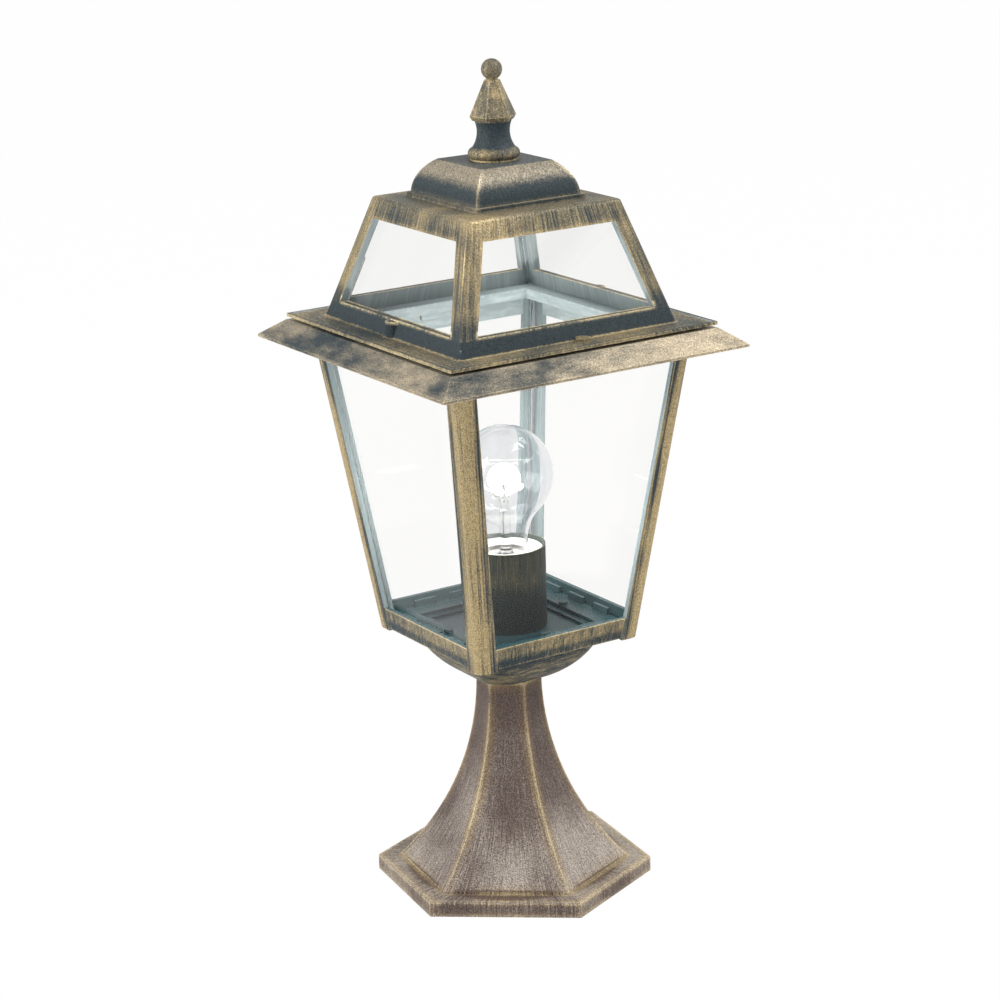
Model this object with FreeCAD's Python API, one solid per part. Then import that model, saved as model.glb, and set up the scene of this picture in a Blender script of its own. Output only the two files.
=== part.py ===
"""Pedestal lantern for a patio: a square glazed lantern on a flared six-sided pedestal.

Millimetres, +Z up. The origin is the centre of the pedestal's underside, and the lantern's
faces look along X and Y. The stack is built upwards: each level follows from the one below.
"""
import FreeCAD
import Part
import math
import os

from FreeCAD import Vector

# Pedestal: a hexagon a little longer than it is deep, flared from the neck to the foot
PEDESTAL_TURN = -37.9
BASE_CORNER = 85.2
BASE_FRONT = 45.6
BASE_FLAT = 70.4
BASE_HEIGHT = 9.7
BASE_EDGE_ROUND = 1.0
PLINTH_STEP = 1.2
FLARE_FOOT_CORNER = 70.8
FLARE_NECK_CORNER = 20.0
PEDESTAL_HEIGHT = 130.5
PEDESTAL_WALL = 4.2
FLARE_SECTIONS = 6

# Mounting bridge: the folded strip that is bolted to the ground inside the pedestal
STRIP_WIDTH = 24.0
STRIP_THICKNESS = 2.5
FOOT_LIFT = 0.3
FOOT_CLEARANCE = 2.0
FOOT_HOLE_SPAN = 100.0
FOOT_HOLE_RADIUS = 3.25
PAD_LENGTH = 7.0
BRIDGE_HEIGHT = 46.0
BRIDGE_HALF = 20.0

# Tie tube with its nuts and washer
TUBE_RADIUS = 5.0
TUBE_WALL = 1.4
TUBE_FIT = 0.15
TUBE_TAIL = 2.0
TUBE_NUT_ACROSS = 14.0
TUBE_NUT_HEIGHT = 4.0
TUBE_WASHER_RADIUS = 11.0
WASHER_THICKNESS = 1.2
THREAD_FIT = 0.05

# Terminal block, leads and earth screw on the bridge
BLOCK_DEPTH = 13.0
BLOCK_WIDTH = 28.0
BLOCK_HEIGHT = 18.0
BLOCK_FOOT = 8.0
BLOCK_POLE_PITCH = 10.0
WIRE_RADIUS = 1.05
WIRE_FIT = 0.4
WIRE_GAP = 0.2
WIRE_RISE = 6.0
WIRE_ENTRY = 4.0
WIRE_BEND = 0.45
EARTH_RADIUS = 2.0
EARTH_LENGTH = 8.0
EARTH_HEAD_RADIUS = 4.0
EARTH_HEAD_HEIGHT = 2.6
EARTH_HEIGHT = 24.0

# Bowl between the pedestal and the lantern
BOWL_HEIGHT = 30.0
BOWL_SETBACK = 11.0
BOWL_FOOT_HALF = 15.5
BOWL_TOP_CORNER = 21.5
BOWL_FOOT_CORNER = 12.5
BOWL_FULLNESS = 1.6
BOWL_WALL = 3.0
BOWL_SECTIONS = 6
BOSS_RADIUS = 4.0
BOSS_HEIGHT = 7.5
BOWL_SCREW_EDGE = 2.9
BOWL_SCREW_RADIUS = 1.75
BOWL_SCREW_LENGTH = 13.0
BOWL_SCREW_HEAD_RADIUS = 2.8
BOWL_SCREW_HEAD_HEIGHT = 1.8
SCREW_FIT = 0.2

# Glazed body: it widens upwards from the tray to the eave
BODY_HEIGHT = 188.0
BODY_FOOT_HALF = 57.4
BODY_HEAD_HALF = 82.7
PANE = 3.0
PANE_FIT = 0.2
TRAY_FLOOR = 3.0
TRAY_LIP = 1.1
RAIL_HEIGHT = 13.1
RAIL_REVEAL = 0.5
LEDGE_HEIGHT = 3.5
LEDGE_WIDTH = 20.4
STEP_DROP = 2.0
STEP_WIDTH = 5.0
TAB_LENGTH = 15.0
TAB_THICKNESS = 2.0
TAB_HEIGHT = 4.0
TAB_PITCH = 26.0
COLLAR_DROP = 15.2

# Corner posts and the tie rods inside them
POST_WING = 12.4
POST_WALL = 3.2
POST_NOSE = 5.0
POST_DROP = 1.4
POST_FIT = 0.2
POST_LUG = 8.0
ROD_RADIUS = 1.5
ROD_GAP = 2.0
ROD_FIT = 0.15
ROD_TAIL = 0.8
ROD_NUT_ACROSS = 5.5
ROD_NUT_HEIGHT = 2.4
NUT_SEAT_DEPTH = 1.2
PANE_SIDE_GAP = 0.3

# Eave casting with its sloping skirt
EAVE_PLATE = 3.0
EAVE_OVERHANG = 9.4
SKIRT_RUN = 12.9
SKIRT_DROP = 9.5
SKIRT_EDGE = 1.5
SKIRT_LIP = 1.3
SKIRT_ROOT = 4.0
LAND_HEIGHT = 1.8
LAND_SETBACK = 8.1

# Roof casting: flange, rails and hip stiles, glazed on its four slopes
FLANGE = 1.4
FLANGE_SETBACK = 0.3
FLANGE_REACH = 16.6
BEAD_WIDTH = 2.4
BEAD_HEIGHT = 0.6
ROOF_HEIGHT = 72.3
ROOF_HEAD_HALF = 52.7
ROOF_WALL = 5.0
ROOF_PLATE = 4.0
ROOF_LEDGE = 13.2
ROOF_EDGE_ROUND = 2.8
ROOF_SILL = 10.0
ROOF_TOP_RAIL = 12.0
HIP_STILE = 11.0
LUG_RADIUS = 5.0
LUG_SHORT = 0.8
ROOF_PANE_HEADROOM = 2.5
CLIP_CELL = 4.5
CLIP_WING = 5.0
CLIP_THICKNESS = 0.7
CLIP_HEIGHT = 14.0
CLIP_FOOT = 46.0

# Roof screws through the flange into the eave
SCREW_RADIUS = 2.0
SCREW_LENGTH = 9.0
SCREW_HEAD_RADIUS = 4.2
SCREW_HEAD_HEIGHT = 2.2
SCREW_SLOT_WIDTH = 1.0
SCREW_SLOT_DEPTH = 0.9
SCREW_OFFSET = 4.6
SCREW_SHIFT = 4.8
SCREW_WALL = 2.2

# Roof cap
CAP_FLANGE_HALF = 37.8
CAP_FLANGE = 2.6
CAP_STEP = 2.1
CAP_TOP_HALF = 23.9
CAP_HEIGHT = 22.3
CAP_BULGE = 2.8
CAP_WALL = 3.0

# Finial with its stud, washer and nut
FINIAL_TURN = 40.1
FINIAL_DISC_RADIUS = 14.0
FINIAL_DISC = 1.0
FINIAL_BEAD_RADIUS = 15.2
FINIAL_BEAD = 5.9
FINIAL_SHOULDER_RADIUS = 12.8
FINIAL_WAIST_RADIUS = 9.7
FINIAL_WAIST = 16.0
FINIAL_COLLAR_RADIUS = 11.0
SPIRE_FOOT_RADIUS = 12.4
SPIRE_RIM_RADIUS = 13.9
SPIRE_RIM = 2.5
SPIRE_TIP_RADIUS = 4.7
SPIRE_HEIGHT = 20.6
BALL_NECK_RADIUS = 3.4
BALL_NECK = 0.9
BALL_RADIUS = 6.15
STUD_RADIUS = 3.0
STUD_FIT = 0.2
STUD_GRIP = 12.0
STUD_TAIL = 1.5
STUD_NUT_ACROSS = 10.0
STUD_NUT_HEIGHT = 5.0
STUD_WASHER_RADIUS = 7.0

# Lampholder in its sleeve
SLEEVE_RADIUS = 24.0
SLEEVE_WALL = 1.2
SLEEVE_HEIGHT = 50.7
HOLDER_HEIGHT = 41.8
HOLDER_WALL = 4.3
HOLDER_RIM = 9.0
HOLDER_RIM_FIT = 0.6
HOLDER_SOCKET = 6.5
HOLDER_FLOOR = 10.1
SHELL_FIT = 0.2
SHELL_WALL = 0.5
SHELL_FOOT = 4.0
SHELL_HEIGHT = 22.0
SHELL_TAIL_WIDTH = 6.0
CONTACT_STRIP = 0.6
CONTACT_WIDTH = 7.0
CONTACT_LENGTH = 10.5
CONTACT_TIP = 3.5
CONTACT_RISE = 2.7
CONTACT_GAP = 0.3

# Clear lamp with a screw cap
BULB_RADIUS = 30.0
BULB_BLEND = 30.0
BULB_NECK_RADIUS = 13.5
BULB_NECK = 6.7
BULB_GLASS = 0.9
BULB_CAP_RADIUS = 13.2
BULB_CAP_WALL = 0.4
BULB_CAP_FOOT = 5.0
BULB_CAP_HEIGHT = 22.0
BULB_CAP_GRIP = 5.0
CAP_THREAD_FIT = 0.4
CEMENT_GAP = 0.15
TIP_RADIUS = 4.8
TIP_FLAT_RADIUS = 2.9
TIP_HEIGHT = 1.4
STEM_RADIUS = 3.4
STEM_FLARE = 7.0
STEM_HEIGHT = 30.0
PRESS_DEPTH = 2.4
PRESS_WIDTH = 6.4
PRESS_HEIGHT = 6.0
STEM_ROD_RADIUS = 1.0
STEM_ROD = 9.0
STEM_BUTTON_RADIUS = 1.9
LEAD_RADIUS = 0.4
LEAD_SPREAD = 2.0
FILAMENT_RADIUS = 0.55
FILAMENT_RING = 11.0
FILAMENT_ARC = 240.0
FILAMENT_RISE = 9.0

UP = Vector(0, 0, 1)
CENTRE = Vector(0, 0, 0)
QUARTER_TURNS = (0, 90, 180, 270)
FACES = {"front": 0, "right": 90, "rear": 180, "left": 270}
CORNERS = {"rear_right": 0, "rear_left": 90, "front_left": 180, "front_right": 270}

# Levels, from the ground up
FLARE_FOOT_Z = BASE_HEIGHT + PLINTH_STEP
TUBE_FOOT_Z = BRIDGE_HEIGHT - STRIP_THICKNESS - TUBE_NUT_HEIGHT - TUBE_TAIL
TRAY_UNDER_Z = PEDESTAL_HEIGHT + BOWL_HEIGHT
BODY_FOOT_Z = TRAY_UNDER_Z - TRAY_LIP
FLOOR_Z = TRAY_UNDER_Z + TRAY_FLOOR
LEDGE_Z = FLOOR_Z + LEDGE_HEIGHT
RAIL_TOP_Z = BODY_FOOT_Z + RAIL_HEIGHT
BODY_HEAD_Z = BODY_FOOT_Z + BODY_HEIGHT
LUG_HEIGHT = LEDGE_HEIGHT - PANE_FIT
PANE_TOP_Z = BODY_HEAD_Z - LUG_HEIGHT - PANE_FIT
EAVE_TOP_Z = BODY_HEAD_Z + EAVE_PLATE
LAND_Z = EAVE_TOP_Z + LAND_HEIGHT
ROOF_FOOT_Z = LAND_Z + FLANGE
ROOF_SILL_Z = ROOF_FOOT_Z + ROOF_SILL
ROOF_TOP_Z = ROOF_FOOT_Z + ROOF_HEIGHT
ROOF_CEILING_Z = ROOF_TOP_Z - ROOF_PLATE
CAP_BASE_Z = ROOF_TOP_Z + CAP_FLANGE
CAP_TOP_Z = ROOF_TOP_Z + CAP_HEIGHT
SLEEVE_FLOOR_Z = FLOOR_Z + SLEEVE_WALL
HOLDER_FOOT_Z = SLEEVE_FLOOR_Z + WASHER_THICKNESS + TUBE_NUT_HEIGHT
HOLDER_FLOOR_Z = HOLDER_FOOT_Z + HOLDER_FLOOR
HOLDER_TOP_Z = HOLDER_FOOT_Z + HOLDER_HEIGHT
BULB_TIP_Z = HOLDER_FLOOR_Z + CONTACT_RISE + CONTACT_GAP
BULB_CAP_Z = BULB_TIP_Z + BULB_CAP_FOOT
BULB_RIM_Z = BULB_CAP_Z + BULB_CAP_HEIGHT
GLASS_FOOT_Z = BULB_RIM_Z - BULB_CAP_GRIP
PRESS_Z = GLASS_FOOT_Z + STEM_HEIGHT
PRESS_TOP_Z = PRESS_Z + PRESS_HEIGHT

# Widths that follow from the pieces they fit
HEX_SLANT = math.hypot(BASE_FLAT, BASE_CORNER - BASE_FRONT) / BASE_FLAT
PEDESTAL_INSET = PEDESTAL_WALL * HEX_SLANT
FOOT_ROOM = STRIP_WIDTH / 2 * (BASE_CORNER - BASE_FRONT) / BASE_FLAT
FOOT_REACH = BASE_CORNER - PEDESTAL_INSET - FOOT_ROOM - FOOT_CLEARANCE
TUBE_BORE = TUBE_RADIUS - TUBE_WALL
WIRE_SPREAD = WIRE_RADIUS + WIRE_GAP
BOWL_TOP_HALF = BODY_FOOT_HALF - BOWL_SETBACK
ROD_INSET = POST_WALL + ROD_GAP + ROD_RADIUS
EAVE_HALF = BODY_HEAD_HALF + EAVE_OVERHANG
LAND_HALF = EAVE_HALF - LAND_SETBACK
FLANGE_HALF = EAVE_HALF - FLANGE_SETBACK
ROOF_FOOT_HALF = FLANGE_HALF - FLANGE_REACH
OPENING_HALF = ROOF_FOOT_HALF - ROOF_WALL - ROOF_LEDGE
SCREW_OUT = ROOF_FOOT_HALF + SCREW_OFFSET
SCREW_PLACES = [(SCREW_SHIFT, -SCREW_OUT), (-SCREW_SHIFT, SCREW_OUT)]
CAP_BASE_HALF = CAP_FLANGE_HALF - CAP_STEP
SHELL_BORE = BULB_CAP_RADIUS + CAP_THREAD_FIT
HOLDER_BORE = SHELL_BORE + SHELL_WALL + SHELL_FIT
GLASS_FOOT_RADIUS = BULB_CAP_RADIUS - BULB_CAP_WALL - CEMENT_GAP

BODY_LEAN = (BODY_HEAD_HALF - BODY_FOOT_HALF) / BODY_HEIGHT
ROOF_LEAN = (ROOF_HEAD_HALF - ROOF_FOOT_HALF) / ROOF_HEIGHT


def body_half(z):
    """Half width of the glazed body over its posts."""
    return BODY_FOOT_HALF + BODY_LEAN * (z - BODY_FOOT_Z)


def roof_half(z):
    """Half width of the roof over its slopes."""
    return ROOF_FOOT_HALF + ROOF_LEAN * (z - ROOF_FOOT_Z)


def turned(shape, angle):
    """Copy of a shape turned about the lantern's axis."""
    copy = shape.copy()
    copy.rotate(CENTRE, UP, angle)
    return copy


def all_round(shape):
    """The shape at the four quarter turns."""
    return [turned(shape, angle) for angle in QUARTER_TURNS]


def cylinder(radius, low, high, x=0.0, y=0.0):
    """Upright cylinder between two levels."""
    return Part.makeCylinder(radius, high - low, Vector(x, y, low), UP)


def tube(outer, inner, low, high):
    """Upright tube between two levels."""
    return cylinder(outer, low, high).cut(cylinder(inner, low, high))


def block(x0, x1, y0, y1, z0, z1):
    """Box between two corners."""
    return Part.makeBox(x1 - x0, y1 - y0, z1 - z0, Vector(x0, y0, z0))


def outline(steps):
    """Edges through (x, z) steps; a step that holds two points is an arc by way of the first."""
    edges = []
    here = steps[0]
    for step in steps[1:]:
        if isinstance(step[0], tuple):
            points = [Vector(x, 0, z) for x, z in (here, *step)]
            edges.append(Part.Arc(*points).toShape())
            here = step[1]
        else:
            edges.append(Part.makeLine(Vector(here[0], 0, here[1]), Vector(step[0], 0, step[1])))
            here = step
    return edges


def revolved(steps):
    """Solid of revolution about Z from a closed outline of (radius, z) steps."""
    face = Part.Face(Part.Wire(outline(steps + steps[:1])))
    return face.revolve(CENTRE, UP, 360)


def mitred(*steps):
    """Solid of square plan from one side's outline of (half width, z) steps, bottom to top."""
    side = outline(list(steps))
    other = [edge.mirror(CENTRE, Vector(1, 0, 0)) for edge in side]
    low, high = side[0].firstVertex().Point, side[-1].lastVertex().Point
    caps = [Part.makeLine(Vector(-end.x, 0, end.z), end) for end in (low, high)]
    face = Part.Face(Part.Wire(Part.__sortEdges__(side + other + caps)))
    reach = face.BoundBox.XMax
    face.translate(Vector(0, -reach, 0))
    slab = face.extrude(Vector(0, 2 * reach, 0))
    return slab.common(turned(slab, 90))


def square_prism(half, low, high):
    """Upright square prism about the axis."""
    return block(-half, half, -half, half, low, high)


def leaning_block(half, inset, low, high):
    """Square block between two levels that follows a slope, set in from it."""
    return mitred((half(low) - inset, low), (half(high) - inset, high))


def polygon(points):
    """Flat face through a ring of points."""
    return Part.Face(Part.makePolygon(points + points[:1]))


def flat_sided(low, high):
    """Solid between two like rings of points, with flat sides."""
    faces = [polygon(low), polygon(high)]
    for i in range(len(low)):
        faces.append(polygon([low[i - 1], low[i], high[i], high[i - 1]]))
    return Part.Solid(Part.Shell(faces))


def six_sided(corner, z, turn):
    """Corners of a regular hexagon, given from its centre to a corner."""
    angles = [math.radians(turn + 60 * i) for i in range(6)]
    return [Vector(corner * math.cos(a), corner * math.sin(a), z) for a in angles]


def nut(across, bore, low, high):
    """Hexagon nut between two levels."""
    blank = polygon(six_sided(across / math.sqrt(3), low, 0)).extrude(Vector(0, 0, high - low))
    return blank.cut(cylinder(bore + THREAD_FIT, low, high))


def folded_strip(points, thickness, width):
    """Strip of sheet folded along (x, z) points, centred on Y, its thickness on one side of the path."""
    path = Part.makePolygon([Vector(x, 0, z) for x, z in points])
    face = path.makeOffset2D(thickness, 2, True, True, False)
    face.translate(Vector(0, -width / 2, 0))
    return face.extrude(Vector(0, width, 0))


def leaning_corner(points, lean, low, high):
    """Prism over (x, y) points in the +X +Y corner that follows a slope's hip line."""
    face = polygon([Vector(x, y, low) for x, y in points])
    rise = high - low
    return face.extrude(Vector(lean * rise, lean * rise, rise))


def corner_angle(out, lean, low, high, wing, wall):
    """Leaning angle section with its outer faces at the given half width."""
    back, heel = out - wing, out - wall
    points = [(back, out), (out, out), (out, back), (heel, back), (heel, heel), (back, heel)]
    return leaning_corner(points, lean, low, high)


def corner_square(out, lean, low, high, size):
    """Leaning square section with its outer faces at the given half width."""
    back = out - size
    return leaning_corner([(back, back), (out, back), (out, out), (back, out)], lean, low, high)


def rod_point(z):
    """Point on the tie rod's axis in the +X +Y corner."""
    place = body_half(z) - ROD_INSET
    return Vector(place, place, z)


def rod_cylinder(radius, low, high):
    """Cylinder along the tie rod's leaning axis."""
    start, end = rod_point(low), rod_point(high)
    return Part.makeCylinder(radius, (end - start).Length, start, end - start)


def leaning_pane(half, low, high, inset, side):
    """Flat pane behind the -Y slope, set in from it and stopped short of the corners."""
    rings = []
    for z in (low, high):
        reach = half(z) - side
        front = inset - half(z)
        back = front + PANE
        corners = [(-reach, front), (reach, front), (reach, back), (-reach, back)]
        rings.append([Vector(x, y, z) for x, y in corners])
    return flat_sided(*rings)


def hexagon(corner, z):
    """The pedestal's section, given from its centre to an end corner."""
    share = corner / BASE_CORNER
    front, flat = BASE_FRONT * share, BASE_FLAT * share
    points = [(corner, 0), (front, flat), (-front, flat), (-corner, 0), (-front, -flat), (front, -flat)]
    wire = Part.makePolygon([Vector(x, y, z) for x, y in points + points[:1]])
    wire.rotate(CENTRE, UP, PEDESTAL_TURN)
    return wire


def hexagon_prism(corner, low, high):
    """Upright prism of the pedestal's section."""
    return Part.Face(hexagon(corner, low)).extrude(Vector(0, 0, high - low))


def flare_corner(z):
    """Corner of the flare at a level: a hollow arc that leaves the neck upright."""
    height = PEDESTAL_HEIGHT - FLARE_FOOT_Z
    spread = FLARE_FOOT_CORNER - FLARE_NECK_CORNER
    radius = (height ** 2 + spread ** 2) / (2 * spread)
    return FLARE_NECK_CORNER + radius - math.sqrt(radius ** 2 - (PEDESTAL_HEIGHT - z) ** 2)


def flare(inset, top):
    """The flared column, or its hollow when set in from the outside."""
    step = (top - FLARE_FOOT_Z) / (FLARE_SECTIONS - 1)
    levels = [FLARE_FOOT_Z + step * i for i in range(FLARE_SECTIONS)]
    return Part.makeLoft([hexagon(flare_corner(z) - inset, z) for z in levels], True, False)


def make_pedestal():
    """Hollow casting: base plate, plinth, flared column, closed neck, pads over the bridge's feet."""
    plate = hexagon_prism(BASE_CORNER, 0, BASE_HEIGHT)
    rim = [edge for edge in plate.Edges if edge.BoundBox.ZMin > BASE_HEIGHT / 2]
    plate = plate.makeFillet(BASE_EDGE_ROUND, rim)
    plinth = hexagon_prism(FLARE_FOOT_CORNER, 0, FLARE_FOOT_Z)
    ceiling = PEDESTAL_HEIGHT - PEDESTAL_WALL
    under = BASE_HEIGHT - PEDESTAL_WALL
    body = plate.fuse([plinth, flare(0, PEDESTAL_HEIGHT)])
    body = body.cut([hexagon_prism(BASE_CORNER - PEDESTAL_INSET, 0, under),
                     hexagon_prism(FLARE_FOOT_CORNER - PEDESTAL_INSET, 0, FLARE_FOOT_Z),
                     flare(PEDESTAL_INSET, ceiling),
                     cylinder(TUBE_RADIUS + TUBE_FIT, ceiling, PEDESTAL_HEIGHT)])
    half = STRIP_WIDTH / 2
    pad = block(FOOT_REACH - PAD_LENGTH, FOOT_REACH, -half, half, FOOT_LIFT + STRIP_THICKNESS, under)
    pads = [turned(pad, PEDESTAL_TURN + angle) for angle in (0, 180)]
    return body.fuse(pads).removeSplitter()


def make_mounting_bridge():
    """Steel strip folded into a bridge: feet for the ground bolts, a raised middle for the tie tube."""
    low = FOOT_LIFT + STRIP_THICKNESS
    right = [(BRIDGE_HALF, BRIDGE_HEIGHT), (BRIDGE_HALF, low), (FOOT_REACH, low)]
    left = [(-x, z) for x, z in reversed(right)]
    strip = folded_strip(left + right, -STRIP_THICKNESS, STRIP_WIDTH)
    holes = [cylinder(FOOT_HOLE_RADIUS, 0, low, side * FOOT_HOLE_SPAN / 2) for side in (-1, 1)]
    holes.append(cylinder(TUBE_RADIUS + TUBE_FIT, BRIDGE_HEIGHT - STRIP_THICKNESS, BRIDGE_HEIGHT))
    holes.append(Part.makeCylinder(EARTH_RADIUS + SCREW_FIT, STRIP_THICKNESS,
                                   Vector(-BRIDGE_HALF, 0, EARTH_HEIGHT), Vector(1, 0, 0)))
    return turned(strip.cut(holes), PEDESTAL_TURN)


def make_tie_tube():
    """Hollow threaded tube from the bridge up into the lampholder's socket."""
    return tube(TUBE_RADIUS, TUBE_BORE, TUBE_FOOT_Z, HOLDER_FOOT_Z + HOLDER_SOCKET)


def make_tube_nuts():
    """Nuts below and above the bridge, and one that clamps the sleeve to the tray."""
    under = BRIDGE_HEIGHT - STRIP_THICKNESS - TUBE_NUT_HEIGHT
    feet = (under, BRIDGE_HEIGHT, HOLDER_FOOT_Z - TUBE_NUT_HEIGHT)
    return Part.makeCompound([nut(TUBE_NUT_ACROSS, TUBE_RADIUS, z, z + TUBE_NUT_HEIGHT) for z in feet])


def make_tube_washer():
    """Washer under the nut that clamps the sleeve."""
    top = SLEEVE_FLOOR_Z + WASHER_THICKNESS
    return tube(TUBE_WASHER_RADIUS, TUBE_RADIUS + TUBE_FIT, SLEEVE_FLOOR_Z, top)


def pole_place(side):
    """Where a lead stands in the terminal block."""
    return BRIDGE_HALF - STRIP_THICKNESS - BLOCK_DEPTH / 2, side * BLOCK_POLE_PITCH / 2


def make_terminal_block():
    """Two-pole block on the inner side of the bridge's leg."""
    back = BRIDGE_HALF - STRIP_THICKNESS
    top = BLOCK_FOOT + BLOCK_HEIGHT
    body = block(back - BLOCK_DEPTH, back, -BLOCK_WIDTH / 2, BLOCK_WIDTH / 2, BLOCK_FOOT, top)
    ways = [cylinder(WIRE_RADIUS + WIRE_FIT, BLOCK_FOOT, top, *pole_place(side)) for side in (-1, 1)]
    return turned(body.cut(ways), PEDESTAL_TURN)


def bent_wire(points, radius):
    """Round wire along straight runs joined by tangent arcs as large as the runs allow."""
    edges = []
    here = points[0]
    for before, corner, after in zip(points, points[1:], points[2:]):
        reach = WIRE_BEND * min((corner - before).Length, (after - corner).Length)
        back = (before - corner).normalize()
        onward = (after - corner).normalize()
        start, end = corner + back * reach, corner + onward * reach
        half_angle = back.getAngle(onward) / 2
        depth = reach / math.cos(half_angle) - reach * math.tan(half_angle)
        middle = corner + (back + onward).normalize() * depth
        edges += [Part.makeLine(here, start), Part.Arc(start, middle, end).toShape()]
        here = end
    edges.append(Part.makeLine(here, points[-1]))
    section = Part.Wire(Part.makeCircle(radius, points[0], points[1] - points[0]))
    return Part.Wire(edges).makePipeShell([section], True, False)


def make_lead_wires():
    """The two leads from the terminal block up the tie tube to the holder's floor."""
    wires = []
    block_top = BLOCK_FOOT + BLOCK_HEIGHT
    for side in (-1, 1):
        x, y = pole_place(side)
        route = [(x, y, block_top - BLOCK_HEIGHT / 2), (x, y, block_top + WIRE_RISE),
                 (0, side * WIRE_SPREAD, TUBE_FOOT_Z - WIRE_ENTRY), (0, side * WIRE_SPREAD, HOLDER_FLOOR_Z)]
        wires.append(bent_wire([Vector(*point) for point in route], WIRE_RADIUS))
    return turned(Part.makeCompound(wires), PEDESTAL_TURN)


def make_earth_screw():
    """Earth terminal screw in the bridge's other leg."""
    seat = Vector(-BRIDGE_HALF + STRIP_THICKNESS, 0, EARTH_HEIGHT)
    head = Part.makeCylinder(EARTH_HEAD_RADIUS, EARTH_HEAD_HEIGHT, seat, Vector(1, 0, 0))
    shank = Part.makeCylinder(EARTH_RADIUS, EARTH_LENGTH, seat, Vector(-1, 0, 0))
    return turned(head.fuse(shank), PEDESTAL_TURN)


def rounded_square(half, corner, z):
    """Square wire with round corners."""
    flat = half - corner
    crown = flat + corner / math.sqrt(2)
    line = Part.makeLine(Vector(half, -flat, z), Vector(half, flat, z))
    arc = Part.Arc(Vector(half, flat, z), Vector(crown, crown, z), Vector(flat, half, z)).toShape()
    return Part.Wire([turned(edge, angle) for angle in QUARTER_TURNS for edge in (line, arc)])


def bowl_loft(inset, foot):
    """The bowl's full curve from its top down to its foot, set in from the outside."""
    wires = []
    power = 2 / BOWL_FULLNESS
    for i in range(BOWL_SECTIONS):
        angle = math.pi / 2 * i / (BOWL_SECTIONS - 1)
        spread = abs(math.cos(angle)) ** power
        half = BOWL_FOOT_HALF + (BOWL_TOP_HALF - BOWL_FOOT_HALF) * spread
        corner = BOWL_FOOT_CORNER + (BOWL_TOP_CORNER - BOWL_FOOT_CORNER) * spread
        z = TRAY_UNDER_Z - (TRAY_UNDER_Z - foot) * math.sin(angle) ** power
        wires.append(rounded_square(half - inset, corner - inset, z))
    return Part.makeLoft(wires, True, False)


def bowl_screw_round(radius, low, high):
    """Cylinders at the four bowl screws, which stand on the tray's ledge beside its edge."""
    out = body_half(LEDGE_Z) - LEDGE_WIDTH + BOWL_SCREW_EDGE
    return all_round(cylinder(radius, low, high, out))


def make_bowl():
    """Square dish with round corners, open at the top, with a screw boss inside each side."""
    outside = bowl_loft(0, PEDESTAL_HEIGHT)
    shell = outside.cut([bowl_loft(BOWL_WALL, PEDESTAL_HEIGHT + BOWL_WALL),
                         cylinder(TUBE_RADIUS + TUBE_FIT, PEDESTAL_HEIGHT, TRAY_UNDER_Z)])
    foot = TRAY_UNDER_Z - BOSS_HEIGHT
    bosses = [boss.common(outside) for boss in bowl_screw_round(BOSS_RADIUS, foot, TRAY_UNDER_Z)]
    pilots = bowl_screw_round(BOWL_SCREW_RADIUS + THREAD_FIT, foot, TRAY_UNDER_Z)
    return shell.fuse(bosses).cut(pilots).removeSplitter()


def make_bowl_screws():
    """Pan head screws that hold the tray on the bowl."""
    heads = bowl_screw_round(BOWL_SCREW_HEAD_RADIUS, LEDGE_Z, LEDGE_Z + BOWL_SCREW_HEAD_HEIGHT)
    shanks = bowl_screw_round(BOWL_SCREW_RADIUS, LEDGE_Z - BOWL_SCREW_LENGTH, LEDGE_Z)
    return Part.makeCompound([head.fuse(shank) for head, shank in zip(heads, shanks)])


def post_notches(low, high):
    """Room for the four posts in the tray or the eave's collar."""
    wing, wall = POST_WING + POST_FIT, POST_WALL + POST_FIT
    return all_round(corner_angle(body_half(low), BODY_LEAN, low, high, wing, wall))


def glass_tabs(low, high):
    """Tabs on the inner side of the panes, three along each side."""
    front = POST_WALL + PANE + 2 * PANE_FIT - body_half(low)
    rise = high - low
    tabs = []
    for x in (-TAB_PITCH, 0, TAB_PITCH):
        foot = Part.makePlane(TAB_LENGTH, TAB_THICKNESS, Vector(x - TAB_LENGTH / 2, front, low))
        tabs += all_round(foot.extrude(Vector(0, -BODY_LEAN * rise, rise)))
    return tabs


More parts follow.
